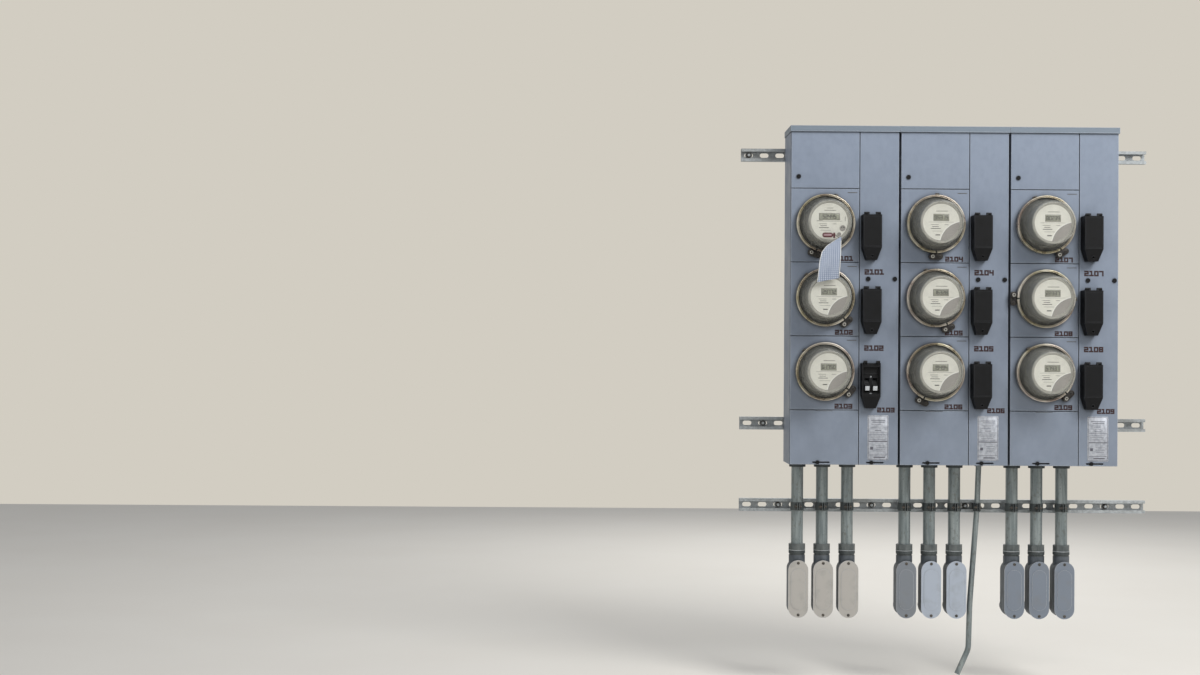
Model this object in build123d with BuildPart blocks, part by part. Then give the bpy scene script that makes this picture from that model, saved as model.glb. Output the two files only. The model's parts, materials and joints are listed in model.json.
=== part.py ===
from build123d import *
import os

os.makedirs("parts", exist_ok=True)

# Wall-mounted bank of nine socket electricity meters: three steel cabinets side by side,
# each with three meters on the left and three covered main breakers on the right.
# The wall is the plane y = 0 and the front looks along -Y, so a "depth" below is the
# distance from the wall. The origin lies on the wall, at the middle of the middle rail.

# Cabinets
section_count = 3
meter_rows = 3
section_width = 342.0
section_gap = 5.0
cabinet_height = 1070.0
cabinet_depth = 168.0
sheet = 1.5
fit_gap = 0.3

# Heights and widths of the covers
meter_column_width = 217.0
breaker_column_width = section_width - meter_column_width
meter_cover_height = 233.0
lower_cover_share = 0.4663
lower_cover_height = lower_cover_share * (cabinet_height - meter_rows * meter_cover_height)
cover_depth = 12.0
cover_seam = 2.0
cover_corner = 2.0
cover_tuck = 5.0
flange_width = 0.112 * breaker_column_width
post_left_width = 12.0
post_right_width = 0.056 * breaker_column_width

# Rain cap
cap_height = 19.0
cap_front_overhang = 5.0
cap_side_overhang = 2.0

# Strut rails on the wall
rail_depth = 20.6
rail_height = 41.3
rail_sheet = 2.5
rail_mouth = 22.2
rail_lip = 7.0
slot_length = 28.6
slot_width = 14.3
slot_pitch = 50.8
slots_per_rail = 26
rail_end_margin = 25.4
middle_rail_above_bottom = 123.0
top_rail_below_top = 74.0
lower_rail_below_bottom = 142.0

# Sockets and meters
meter_offset_up = 5.0
socket_hole_radius = 82.5
collar_wall = 2.0
collar_rim_radius = 88.0
collar_height = 12.0
rim_thickness = 2.5
meter_flange_thickness = 5.0
meter_boss_radius = 76.0
meter_boss_length = 18.0
drum_radius = 66.0
drum_taper = 3.0
dial_setback = 20.0
dial_radius = 55.5
dial_thickness = 2.0
bezel_radius = 63.0
bezel_height = 3.0
glass_radius = 77.0
glass_front_radius = 68.5
glass_length = 96.0
glass_wall = 2.5
glass_edge = 7.0
glass_flange_radius = 84.0
glass_flange_thickness = 2.5
blade_thickness = 2.4
blade_width = 19.0
blade_length = 24.0
blade_spread_x = 32.0
blade_spread_z = 38.0

# Sealing rings and their locks
ring_outer_radius = 92.0
ring_inner_radius = 84.8
ring_front_lip = 4.0
ring_rear_lip = 4.0
ring_width = ring_outer_radius - ring_inner_radius
ring_chamfer = 3.0
ring_split = 5.0
lug_width = 12.0
lug_height = 5.0
lock_length = 44.0
lock_height = 20.0
lock_thickness = 13.0
barrel_radius = 9.0
barrel_length = 20.0
barrel_inset = 1.5
# Clockwise from the top, seen from the front: top, middle and bottom row of each cabinet.
lock_angles = [[200, 139, 128], [180, 157, 204], [150, 270, 135]]
lug_angles = [[20, 319, 315], [2, 340, 29], [337, 90, 324]]

# Main breakers, their frames and flaps
frame_inset = 0.04 * breaker_column_width
frame_width = 58.0
frame_height = 142.0
frame_depth = 36.0
frame_drop = 44.0
frame_crease = 104.0
frame_foot_width = 32.5
frame_slope_fall = 12.0
pocket_top = 12.0
pocket_height = 84.0
breaker_width = 50.8
breaker_gap = 0.4
breaker_face_setback = 12.0
breaker_depth = 66.0
handle_spacing = 24.6
handle_width = 14.4
handle_slot_height = 43.5
handle_slot_below_top = 68.7
handle_axis_depth = 21.0
handle_reach = 32.0
handle_height = 15.6
handle_drum_radius = 20.0
handle_web = 7.0
handle_throw = 38.0
handle_shaft_radius = 4.0
shaft_play = 0.05
shaft_end = 3.0
handle_play = 0.6
ear_width = 11.4
ear_spacing = 40.0
ear_radius = 4.5
ear_clearance = 1.0
pin_above_frame = 3.5
pin_radius = 2.0
pin_play = 0.05
cheek_thickness = 4.0
flap_thickness = 10.4
flap_wall = 2.4
flap_gap = 0.4
flap_panel_rise = 0.6
flap_panel_margin = 3.0
hasp_hole_radius = 3.2
hasp_hole_above_foot = 12.0

# Electrical inside
bus_height = 30.0
bus_thickness = 6.0
bus_spacing = 45.0
bus_below_top = 70.0
bus_post_width = 16.0
vertical_bus_width = 20.0
vertical_bus_spacing = 25.4
socket_block_width = 96.0
socket_block_height = 108.0
socket_block_thickness = 22.0
jaw_width = 9.0
jaw_height = 24.0
jaw_play = 0.4
post_width = 16.0
window_margin = 15.0

# Screws and latches on the covers
screw_radius = 7.0
screw_rise = 3.0
stem_radius = 2.4
stem_play = 0.4
top_screw_x = 24.0
top_screw_above_seam = 37.0
breaker_screw_left_margin = 0.224 * breaker_column_width
breaker_screw_right_margin = 0.104 * breaker_column_width
breaker_screw_rise = 0.357 * (meter_cover_height - frame_height)
latch_in_meter_column = 88.0
latch_in_breaker_column = 0.328 * breaker_column_width
latch_above_bottom = 8.0
latch_slot_length = 0.448 * breaker_column_width
latch_slot_offset = 0.088 * breaker_column_width
latch_slot_height = 5.6
latch_radius = 6.0
latch_rise = 4.0
finger_notch_width = 55.0
finger_notch_height = 4.0

# Conduits below the cabinets
conduit_x = [42.0, 122.0, 203.0]
conduit_radius = 19.2
conduit_standoff = 10.0
conduit_wall = 1.7
hub_radius = 26.5
hub_height = 15.0
hub_nipple_radius = 20.8
hub_nipple_play = 0.5
locknut_radius = 25.0
locknut_height = 5.0
connector_top = 263.0
connector_barrel_radius = 24.0
connector_height = 36.0
connector_nut_radius = 26.8
connector_nut_height = 19.0
body_hub_radius = 26.0
body_hub_height = 16.0
body_width = 60.0
body_height = 180.0
body_front_depth = 88.0
body_back_depth = 26.0
body_hub_root = 20.0
body_wall = 3.5
body_bore_radius = 17.0
body_hollow_width = 44.0
body_hollow_height = 148.0
outlet_radius = 21.3
body_cover_overlap = 2.0
body_cover_thickness = 4.0
body_cover_rise = 1.2
body_cover_border = 9.0

# Straps on the lower rail
strap_thickness = 2.0
strap_width = 26.0
strap_slit = 4.0
strap_ear_length = 14.0
strap_foot_width = 8.0

# Thin grounding conduit: its way down from the middle cabinet's bottom, as x and z steps
ground_radius = 9.0
ground_wall = 1.2
ground_x = 282.0
ground_route = [(0.0, 0.0), (-5.0, -144.0), (-27.0, -450.0), (-31.0, -600.0), (-67.0, -681.0)]
ground_bends = [500.0, 800.0, 70.0]
ground_strap_play = 1.0
ground_hub_radius = 14.0
ground_hub_height = 10.0

# Paper notice tied to the top left meter
tag_thickness = 0.6
tag_width = 68.0
tag_height = 140.0
tag_sway = 12.0
tag_shift = 6.8
tag_drop = 50.0
tag_clip_x = -8.0
tag_clip_up = 6.0
tag_wire_x = 15.0
tag_wire_length = 38.0
tag_wire_width = 1.6
tag_clip_length = 34.0
tag_clip_height = 15.0
tag_clip_thickness = 3.0
# Corners of the slip, as shares of its width from its middle and of its height from its top
tag_outline = [
    (0.6, 0.0), (0.51, -1.0), (-0.49, -1.0), (-0.41, -0.55),
    (-0.31, -0.34), (-0.08, -0.195), (0.17, -0.115), (0.55, 0.0),
]

# Places worked out from the sizes above
section_pitch = section_width + section_gap
bank_width = section_count * section_width + (section_count - 1) * section_gap
cabinet_bottom = -middle_rail_above_bottom
cabinet_top = cabinet_bottom + cabinet_height
top_rail_z = cabinet_top - top_rail_below_top
lower_rail_z = cabinet_bottom - lower_rail_below_bottom
back_depth = rail_depth
front_depth = back_depth + cabinet_depth
flange_depth = front_depth - cover_depth
panel_depth = back_depth + sheet
rim_depth = front_depth + collar_height
meter_flange_depth = rim_depth + meter_flange_thickness
glass_front_depth = meter_flange_depth + glass_length
dial_depth = glass_front_depth - dial_setback
frame_front_depth = front_depth + frame_depth
breaker_face_depth = frame_front_depth - breaker_face_setback
breaker_back_depth = breaker_face_depth - breaker_depth
conduit_depth = rail_depth + conduit_standoff + conduit_radius
cross_bus_z = [cabinet_top - bus_below_top, cabinet_top - bus_below_top - bus_spacing]
upright_front = breaker_back_depth - fit_gap
cross_front = [upright_front - bus_thickness, upright_front - 2 * bus_thickness]
body_top = cabinet_bottom - connector_top - connector_height - body_hub_height
meter_cover_tops = [
    cabinet_bottom + lower_cover_height + meter_cover_height * (meter_rows - row)
    for row in range(meter_rows)
]
meter_heights = [top - meter_cover_height / 2 + meter_offset_up for top in meter_cover_tops]
frame_tops = [z - frame_drop + frame_height / 2 for z in meter_heights]
section_names = ["left", "middle", "right"]
row_names = ["top", "middle", "bottom"]


def section_left(section):
    return section * section_pitch - bank_width / 2


def meter_x(section):
    return section_left(section) + meter_column_width / 2


def breaker_x(section):
    return section_left(section) + meter_column_width + frame_inset + frame_width / 2


def facing(depth, x=0.0, z=0.0):
    """A sketch plane parallel to the wall, looking out of it, with x to the right and z up."""
    return Plane((x, -depth, z), x_dir=(1, 0, 0), z_dir=(0, -1, 0))


def upright(depth, x=0.0, z=0.0):
    """A sketch plane across the wall, with distance from the wall to the right and z up."""
    return Plane((x, -depth, z), x_dir=(0, -1, 0), z_dir=(-1, 0, 0))


def level(z, x=0.0, depth=0.0):
    """A level sketch plane at height z."""
    return Plane((x, -depth, z), x_dir=(1, 0, 0), z_dir=(0, 0, 1))


meter_places = [(meter_x(s), 0.0, z) for s in range(section_count) for z in meter_heights]
breaker_places = [(breaker_x(s), 0.0, z) for s in range(section_count) for z in frame_tops]
conduit_places = [
    (section_left(s) + x, -conduit_depth, 0.0) for s in range(section_count) for x in conduit_x
]


def save(part, label):
    part.label = label
    export_step(part, "parts/" + label + ".step")


def save_copies(part, label, places):
    """Writes one node that holds a copy of the same piece at each place."""
    with BuildPart() as group:
        with Locations(*places):
            add(part)
    save(group.part, label)


# Folded steel cabinet with its rain cap
def cabinet(section):
    left = section_left(section)
    centre = left + section_width / 2
    box_height = cabinet_height - sheet
    box_z = cabinet_bottom + box_height / 2
    cap_width = section_width + 2 * cap_side_overhang
    cap_depth = cabinet_depth + cap_front_overhang
    with BuildPart() as shell:
        with BuildSketch(facing(back_depth, centre, box_z)):
            Rectangle(section_width, box_height)
        extrude(amount=cabinet_depth - cover_depth)
        with BuildSketch(facing(panel_depth, centre, box_z)):
            Rectangle(section_width - 2 * sheet, box_height - 2 * sheet)
        extrude(amount=flange_depth - panel_depth - sheet, mode=Mode.SUBTRACT)
        with BuildSketch(facing(flange_depth - sheet, centre, box_z)):
            Rectangle(section_width - 2 * flange_width, box_height - 2 * flange_width)
        extrude(amount=sheet, mode=Mode.SUBTRACT)
        # Centre post that the two columns of covers share
        post_x = left + meter_column_width + (post_right_width - post_left_width) / 2
        with BuildSketch(facing(flange_depth - sheet, post_x, box_z)):
            Rectangle(post_left_width + post_right_width, box_height - 2 * sheet)
        extrude(amount=sheet)
        with BuildSketch(facing(back_depth, centre, cabinet_top - cap_height / 2)):
            Rectangle(cap_width, cap_height)
        extrude(amount=cap_depth)
        with BuildSketch(facing(back_depth, centre, cabinet_top - sheet - cap_height / 2)):
            Rectangle(cap_width - 2 * sheet, cap_height)
            Rectangle(section_width, cap_height, mode=Mode.SUBTRACT)
        extrude(amount=cap_depth - sheet, mode=Mode.SUBTRACT)
        with BuildSketch(facing(flange_depth, centre, cabinet_top - sheet - cap_height / 2)):
            Rectangle(section_width, cap_height)
        extrude(amount=cover_depth + cap_front_overhang - sheet, mode=Mode.SUBTRACT)
        # Knock-outs in the bottom for the conduits
        with BuildSketch(level(cabinet_bottom, 0.0, conduit_depth)):
            with Locations(*[(left + x, 0.0) for x in conduit_x]):
                Circle(hub_nipple_radius + hub_nipple_play)
            if section == 1:
                with Locations((left + ground_x, 0.0)):
                    Circle(ground_radius + fit_gap)
        extrude(amount=sheet, mode=Mode.SUBTRACT)
        # Windows for the cross bus in the walls where two cabinets meet
        window_z = cabinet_top - bus_below_top - bus_spacing / 2
        window_height = bus_spacing + bus_height + 2 * window_margin
        window_depth = cross_front[1]
        for side, wall in ((section > 0, left), (section < section_count - 1, left + section_width - sheet)):
            if side:
                with BuildSketch(Plane((wall, -window_depth, window_z), x_dir=(0, -1, 0), z_dir=(1, 0, 0))):
                    Rectangle(4 * bus_thickness + window_margin, window_height)
                extrude(amount=sheet, mode=Mode.SUBTRACT)
    return shell.part


# Cover: a shallow folded tray that stands on the cabinet's front flange
def cover_tray(x_low, x_high, z_low, z_high):
    width = x_high - x_low - cover_seam
    height = z_high - z_low - cover_seam
    x_mid = (x_low + x_high) / 2
    z_mid = (z_low + z_high) / 2
    with BuildPart() as tray:
        with BuildSketch(facing(flange_depth, x_mid, z_mid)):
            Rectangle(width, height)
        extrude(amount=cover_depth)
        chamfer(tray.faces().sort_by(Axis.Y)[0].edges(), cover_corner / 2)
        with BuildSketch(facing(flange_depth, x_mid, z_mid)):
            Rectangle(width - 2 * sheet, height - 2 * sheet)
        extrude(amount=cover_depth - sheet, mode=Mode.SUBTRACT)
    return tray.part


def top_screw_place(left):
    return left + top_screw_x, meter_cover_tops[0] + top_screw_above_seam


def breaker_screw_places(left):
    z = frame_tops[1] + breaker_screw_rise
    column_left = left + meter_column_width
    column_right = left + section_width
    return [(column_left + breaker_screw_left_margin, z), (column_right - breaker_screw_right_margin, z)]


def latch_slot(x):
    """Adds the sketch of the slot that a latch stud slides in."""
    with Locations((x + latch_slot_offset, cabinet_bottom + latch_above_bottom)):
        SlotOverall(latch_slot_length, latch_slot_height)


def top_cover(section):
    left = section_left(section)
    with BuildPart() as cover:
        add(cover_tray(left, left + meter_column_width, meter_cover_tops[0], cabinet_top - cover_tuck))
        with BuildSketch(facing(front_depth - sheet)):
            with Locations(top_screw_place(left)):
                Circle(stem_radius + stem_play)
        extrude(amount=sheet, mode=Mode.SUBTRACT)
    return cover.part


def meter_cover(section, row):
    left = section_left(section)
    top = meter_cover_tops[row]
    x = meter_x(section)
    z = meter_heights[row]
    with BuildPart() as cover:
        add(cover_tray(left, left + meter_column_width, top - meter_cover_height, top))
        with BuildSketch(facing(front_depth, x, z)):
            Circle(socket_hole_radius + collar_wall)
        extrude(amount=collar_height)
        with BuildSketch(facing(rim_depth - rim_thickness, x, z)):
            Circle(collar_rim_radius)
        extrude(amount=rim_thickness)
        with BuildSketch(facing(front_depth - sheet, x, z)):
            Circle(socket_hole_radius)
        extrude(amount=collar_height + sheet, mode=Mode.SUBTRACT)
    return cover.part


def lower_cover(section):
    left = section_left(section)
    top = cabinet_bottom + lower_cover_height
    with BuildPart() as cover:
        add(cover_tray(left, left + meter_column_width, cabinet_bottom, top))
        with BuildSketch(facing(front_depth - sheet)):
            latch_slot(left + latch_in_meter_column)
            with Locations((meter_x(section), top)):
                Rectangle(finger_notch_width, 2 * finger_notch_height)
        extrude(amount=sheet, mode=Mode.SUBTRACT)
    return cover.part


def breaker_cover(section):
    left = section_left(section)
    right = left + section_width
    with BuildPart() as cover:
        add(cover_tray(left + meter_column_width, right, cabinet_bottom, cabinet_top - cover_tuck))
        with BuildSketch(facing(front_depth - sheet)):
            latch_slot(left + meter_column_width + latch_in_breaker_column)
            with Locations(*breaker_screw_places(left)):
                Circle(stem_radius + stem_play)
            with Locations(*[(breaker_x(section), z - pocket_top - pocket_height / 2) for z in frame_tops]):
                Rectangle(breaker_width + 2 * breaker_gap, pocket_height + 2 * breaker_gap)
        extrude(amount=sheet, mode=Mode.SUBTRACT)
    return cover.part


# Breaker frame: a black moulding round the breaker, with a tapered foot and two hinge ears.
# Its local origin is the middle of its top edge, on the wall plane.
def frame_outline(top):
    half = frame_width / 2
    foot = frame_foot_width / 2
    right = [(half, top), (half, -frame_crease), (foot, -frame_height)]
    return right + [(-x, z) for x, z in reversed(right)]


pin_depth = frame_front_depth + flap_gap + ear_radius - flap_gap / 2

with BuildPart() as breaker_frame:
    with BuildSketch(facing(front_depth)):
        with BuildLine():
            Polyline(*frame_outline(0.0), close=True)
        make_face()
    extrude(amount=frame_depth)
    with BuildSketch(upright(frame_front_depth, frame_width / 2)):
        with BuildLine():
            Polyline((0, -frame_crease), (0, -frame_height), (-frame_slope_fall, -frame_height), close=True)
        make_face()
    extrude(amount=frame_width, mode=Mode.SUBTRACT)
    with BuildSketch(facing(front_depth, 0, -pocket_top - pocket_height / 2)):
        Rectangle(breaker_width + 2 * breaker_gap, pocket_height + 2 * breaker_gap)
    extrude(amount=frame_depth, mode=Mode.SUBTRACT)
    for side in (-1, 1):
        ear_x = side * ear_spacing / 2
        with BuildSketch(upright(0.0, ear_x + ear_width / 2)):
            with Locations((pin_depth, pin_above_frame)):
                Circle(ear_radius)
            with BuildLine():
                Polyline(
                    (pin_depth, pin_above_frame - ear_radius),
                    (pin_depth, pin_above_frame + ear_radius),
                    (frame_front_depth - 2 * ear_radius, 0.0),
                    (frame_front_depth - ear_radius, -ear_radius),
                    (frame_front_depth, -ear_radius),
                    close=True,
                )
            make_face()
            with Locations((pin_depth, pin_above_frame)):
                Circle(pin_radius + pin_play, mode=Mode.SUBTRACT)
        extrude(amount=ear_width)
save_copies(breaker_frame.part, "breaker_frames", breaker_places)


# Flap: a shallow lid over the frame, hung on pins through the frame's ears
with BuildPart() as breaker_flap:
    flap_back = frame_front_depth + flap_gap
    flap_front = flap_back + flap_thickness
    flap_top = -flap_gap
    with BuildSketch(facing(front_depth)):
        with BuildLine():
            Polyline(*frame_outline(flap_top), close=True)
        make_face()
    extrude(amount=flap_front - front_depth)
    with BuildSketch(upright(0.0, frame_width / 2)):
        with BuildLine():
            Polyline(
                (flap_back, flap_top),
                (flap_front, flap_top),
                (flap_front, -frame_crease),
                (flap_front - frame_slope_fall, -frame_height),
                (flap_back - frame_slope_fall, -frame_height),
                (flap_back, -frame_crease),
                close=True,
            )
        make_face()
    extrude(amount=frame_width, mode=Mode.INTERSECT)
    # Hollow back
    with BuildSketch(facing(flap_back, 0, (flap_top - frame_crease) / 2)):
        Rectangle(frame_width - 2 * flap_wall, frame_crease - 4 * flap_wall)
    extrude(amount=flap_thickness - flap_wall, mode=Mode.SUBTRACT)
    # Raised panel on the front
    with BuildSketch(facing(flap_front, 0, (flap_top - frame_crease) / 2)):
        Rectangle(frame_width - 2 * flap_panel_margin, frame_crease - 4 * flap_panel_margin)
    extrude(amount=flap_panel_rise)
    # Padlock hole in the foot
    with BuildSketch(facing(front_depth, 0, -frame_height + hasp_hole_above_foot)):
        Circle(hasp_hole_radius)
    extrude(amount=2 * frame_depth, mode=Mode.SUBTRACT)
    # Room for the ears, then the hinge cheeks and pins
    for side in (-1, 1):
        ear_x = side * ear_spacing / 2
        with BuildSketch(facing(flap_back, ear_x)):
            Rectangle(ear_width + 2 * fit_gap, 2 * ear_radius + 2 * ear_clearance)
        extrude(amount=2 * ear_radius + fit_gap, mode=Mode.SUBTRACT)
        cheek_x = ear_x - side * (ear_width / 2 + fit_gap + cheek_thickness / 2)
        with BuildSketch(upright(0.0, cheek_x + cheek_thickness / 2)):
            with Locations((pin_depth, pin_above_frame)):
                Circle(ear_radius)
            with BuildLine():
                Polyline(
                    (pin_depth + ear_radius, pin_above_frame),
                    (pin_depth - ear_radius, pin_above_frame),
                    (flap_back, flap_top - flap_wall),
                    (flap_front, flap_top - flap_wall),
                    close=True,
                )
            make_face()
        extrude(amount=cheek_thickness)
        with BuildSketch(upright(0.0, ear_x + ear_width / 2 + 2 * fit_gap)):
            with Locations((pin_depth, pin_above_frame)):
                Circle(pin_radius)
        extrude(amount=ear_width + 4 * fit_gap)

# Two-pole main breaker: a moulded case with a slot for each handle and a bore for their shaft
handle_slot_z = -handle_slot_below_top
handle_depth = breaker_face_depth - handle_axis_depth
shaft_length = handle_spacing + handle_width + 2 * shaft_end

with BuildPart() as breaker:
    with BuildSketch(facing(breaker_back_depth, 0, -pocket_top - pocket_height / 2)):
        Rectangle(breaker_width, pocket_height)
    extrude(amount=breaker_depth)
    for side in (-1, 1):
        slot_x = side * handle_spacing / 2
        slot_width_open = handle_width + 2 * handle_play
        with BuildSketch(facing(handle_depth - handle_slot_height / 2, slot_x, handle_slot_z)):
            Rectangle(slot_width_open, handle_slot_height)
        extrude(amount=handle_axis_depth + handle_slot_height / 2, mode=Mode.SUBTRACT)
    with BuildSketch(upright(handle_depth, shaft_length / 2 + fit_gap, handle_slot_z)):
        Circle(handle_shaft_radius + shaft_play)
    extrude(amount=shaft_length + 2 * fit_gap, mode=Mode.SUBTRACT)
save_copies(breaker.part, "breakers", breaker_places)

# Pair of breaker handles on one shaft, thrown down
with BuildPart() as breaker_toggle:
    rest_plane = upright(handle_depth, 0.0, handle_slot_z)
    for side in (-1, 1):
        handle_side = rest_plane.offset(-side * handle_spacing / 2 - handle_width / 2)
        with BuildSketch(handle_side):
            Circle(handle_drum_radius)
            with Locations((-handle_drum_radius - handle_web, 0)):
                Rectangle(2 * handle_drum_radius, 2 * handle_drum_radius, mode=Mode.SUBTRACT)
        extrude(amount=handle_width)
        with BuildSketch(handle_side):
            with Locations(Rotation(0, 0, -handle_throw / 2)):
                with Locations((handle_reach / 2, 0)):
                    Rectangle(handle_reach, handle_height)
        extrude(amount=handle_width)
    with BuildSketch(rest_plane.offset(-shaft_length / 2)):
        Circle(handle_shaft_radius)
    extrude(amount=shaft_length)

missing_flap = (0, 2)
for s in range(section_count):
    for r in range(meter_rows):
        name = section_names[s] + "_" + row_names[r]
        place = [(breaker_x(s), 0.0, frame_tops[r])]
        save_copies(breaker_toggle.part, "breaker_toggle_" + name, place)
        if (s, r) != missing_flap:
            save_copies(breaker_flap.part, "breaker_flap_" + name, place)

for s in range(section_count):
    save(cabinet(s), "enclosure_" + section_names[s])
    save(top_cover(s), "top_cover_" + section_names[s])
    save(lower_cover(s), "lower_cover_" + section_names[s])
    save(breaker_cover(s), "breaker_cover_" + section_names[s])
    for r in range(meter_rows):
        save(meter_cover(s, r), "meter_cover_" + section_names[s] + "_" + row_names[r])


# Meter: base disc with four blades behind and the works drum in front
with BuildPart() as meter_body:
    with BuildSketch(Plane.XZ):
        Circle(collar_rim_radius)
    extrude(amount=meter_flange_thickness)
    with BuildSketch(Plane.XZ.offset(-meter_boss_length)):
        Circle(meter_boss_radius)
    extrude(amount=meter_boss_length)
    with BuildSketch(Plane.XZ.offset(meter_flange_thickness)):
        Circle(drum_radius)
    extrude(amount=dial_depth - dial_thickness - meter_flange_depth, taper=drum_taper)
    with BuildSketch(Plane.XZ.offset(-meter_boss_length - blade_length)):
        with GridLocations(2 * blade_spread_x, 2 * blade_spread_z, 2, 2):
            Rectangle(blade_thickness, blade_width)
    extrude(amount=blade_length)
save_copies(meter_body.part, "meter_bodies", [(x, -rim_depth, z) for x, y, z in meter_places])

with BuildPart() as meter_dial:
    with BuildSketch(Plane.XZ):
        Circle(dial_radius)
    extrude(amount=dial_thickness)
    with BuildSketch(Plane.XZ):
        Circle(bezel_radius - fit_gap)
        Circle(dial_radius, mode=Mode.SUBTRACT)
    extrude(amount=bezel_height)
save_copies(
    meter_dial.part, "meter_dials", [(x, -dial_depth + dial_thickness, z) for x, y, z in meter_places]
)

# Glass cover: a flanged cup that narrows to the front
with BuildPart() as meter_glass:
    with BuildSketch(Plane.XY):
        with BuildLine():
            Polyline(
                (0, glass_length),
                (glass_front_radius - glass_edge, glass_length),
                (glass_front_radius, glass_length - glass_edge),
                (glass_radius, glass_flange_thickness),
                (glass_flange_radius, glass_flange_thickness),
                (glass_flange_radius, 0),
                (glass_radius - glass_wall, 0),
                (glass_front_radius - glass_edge, glass_length - glass_wall),
                (0, glass_length - glass_wall),
                close=True,
            )
        make_face()
    revolve(axis=Axis.Y)
glass_upright = meter_glass.part.rotate(Axis.X, 180)
save_copies(glass_upright, "meter_glasses", [(x, -meter_flange_depth, z) for x, y, z in meter_places])

# Sealing ring: a split channel that clamps the collar's rim and the meter's flange together.
# Local y = 0 is the rim's front face, and the split is at the top until it is turned.
ring_back = rim_thickness + fit_gap + ring_rear_lip
ring_front = meter_flange_thickness + glass_flange_thickness + fit_gap + ring_front_lip
with BuildPart() as sealing_ring:
    with BuildSketch(Plane.XY):
        with BuildLine():
            Polyline(
                (ring_inner_radius, ring_back),
                (ring_outer_radius - ring_chamfer, ring_back),
                (ring_outer_radius, ring_back - ring_chamfer),
                (ring_outer_radius, ring_chamfer - ring_front),
                (ring_outer_radius - ring_chamfer, -ring_front),
                (ring_inner_radius, -ring_front),
                (ring_inner_radius, -ring_front + ring_front_lip),
                (collar_rim_radius + fit_gap, -ring_front + ring_front_lip),
                (collar_rim_radius + fit_gap, ring_back - ring_rear_lip),
                (ring_inner_radius, ring_back - ring_rear_lip),
                close=True,
            )
        make_face()
    revolve(axis=Axis.Y)
    with BuildSketch(Plane.XZ.offset(-ring_back)):
        with Locations((0, ring_outer_radius)):
            Rectangle(ring_split, 4 * ring_width)
    extrude(amount=ring_back + ring_front, mode=Mode.SUBTRACT)

with BuildPart() as ring_lug:
    with BuildSketch(Plane.XZ.offset(ring_chamfer - ring_back)):
        with Locations((0, ring_outer_radius)):
            Rectangle(lug_width, 2 * lug_height)
    extrude(amount=ring_back + ring_front - 2 * ring_chamfer)
    with BuildSketch(Plane.XZ.offset(-ring_back)):
        Circle(ring_outer_radius - ring_chamfer)
    extrude(amount=ring_back + ring_front, mode=Mode.SUBTRACT)

# Lock: a bracket over the ring's split, with a barrel at one end
lock_middle = ring_outer_radius + fit_gap + lock_height / 2
with BuildPart() as ring_lock:
    with BuildSketch(Plane.XZ):
        with Locations((0, lock_middle)):
            SlotOverall(lock_length, lock_height)
        Circle(ring_outer_radius + fit_gap, mode=Mode.SUBTRACT)
    extrude(amount=lock_thickness)
    with BuildSketch(Plane.XZ):
        with Locations((lock_length / 2 - barrel_radius - barrel_inset, lock_middle)):
            Circle(barrel_radius)
        Circle(ring_outer_radius + fit_gap, mode=Mode.SUBTRACT)
    extrude(amount=barrel_length)

with BuildPart() as sealing_rings:
    for s in range(section_count):
        for r in range(meter_rows):
            place = Pos(meter_x(s), -rim_depth, meter_heights[r])
            turned_ring = sealing_ring.part.rotate(Axis.Y, lock_angles[s][r])
            turned_lug = ring_lug.part.rotate(Axis.Y, lug_angles[s][r])
            add(place * (turned_ring + turned_lug))
save(sealing_rings.part, "sealing_rings")

with BuildPart() as ring_locks:
    for s in range(section_count):
        for r in range(meter_rows):
            place = Pos(meter_x(s), -rim_depth + ring_back, meter_heights[r])
            add(place * ring_lock.part.rotate(Axis.Y, lock_angles[s][r]))
save(ring_locks.part, "ring_locks")

# Socket behind each meter: an insulating block on two posts, with four spring jaws
jaw_front_depth = rim_depth - meter_boss_length - fit_gap
block_front_depth = jaw_front_depth - blade_length
block_back_depth = block_front_depth - socket_block_thickness
with BuildPart() as meter_socket:
    with BuildSketch(facing(block_back_depth)):
        Rectangle(socket_block_width, socket_block_height)
    extrude(amount=socket_block_thickness)
    with BuildSketch(facing(block_front_depth)):
        with GridLocations(2 * blade_spread_x, 2 * blade_spread_z, 2, 2):
            Rectangle(jaw_width, jaw_height)
            Rectangle(blade_thickness + 2 * jaw_play, jaw_height, mode=Mode.SUBTRACT)
    extrude(amount=jaw_front_depth - block_front_depth)
    with BuildSketch(facing(panel_depth)):
        with GridLocations(socket_block_width - 2 * post_width, 0, 2, 1):
            Rectangle(post_width, post_width)
    extrude(amount=block_back_depth - panel_depth)
save_copies(meter_socket.part, "meter_sockets", meter_places)

# Bus bars: two cross bars on posts, and two uprights behind each cabinet's breakers
bus_length = bank_width - 4 * flange_width
with BuildPart() as bus_bars:
    for z, depth in zip(cross_bus_z, cross_front):
        with BuildSketch(facing(depth - bus_thickness, 0, z)):
            Rectangle(bus_length, bus_height)
        extrude(amount=bus_thickness)
        with BuildSketch(facing(panel_depth, 0, z)):
            with Locations(*[(meter_x(s), 0) for s in range(section_count)]):
                Rectangle(bus_post_width, bus_post_width)
        extrude(amount=depth - bus_thickness - panel_depth)
    upright_bottom = frame_tops[-1] - frame_height
    for s in range(section_count):
        for pole in (0, 1):
            x = breaker_x(s) + (pole - 0.5) * vertical_bus_spacing
            top = cross_bus_z[pole] + bus_height / 2
            with BuildSketch(facing(cross_front[pole], x, (top + upright_bottom) / 2)):
                Rectangle(vertical_bus_width, top - upright_bottom)
            extrude(amount=bus_thickness)
save(bus_bars.part, "bus_bars")


# Cover screws and latch studs: heads on the covers, stems down to the cabinet's flange
def stud(head_radius, head_rise, length):
    with BuildPart() as piece:
        with BuildSketch(Plane.XZ):
            Circle(head_radius)
        extrude(amount=head_rise)
        with BuildSketch(Plane.XZ.offset(-length)):
            Circle(stem_radius)
        extrude(amount=length)
    return piece.part


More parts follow.
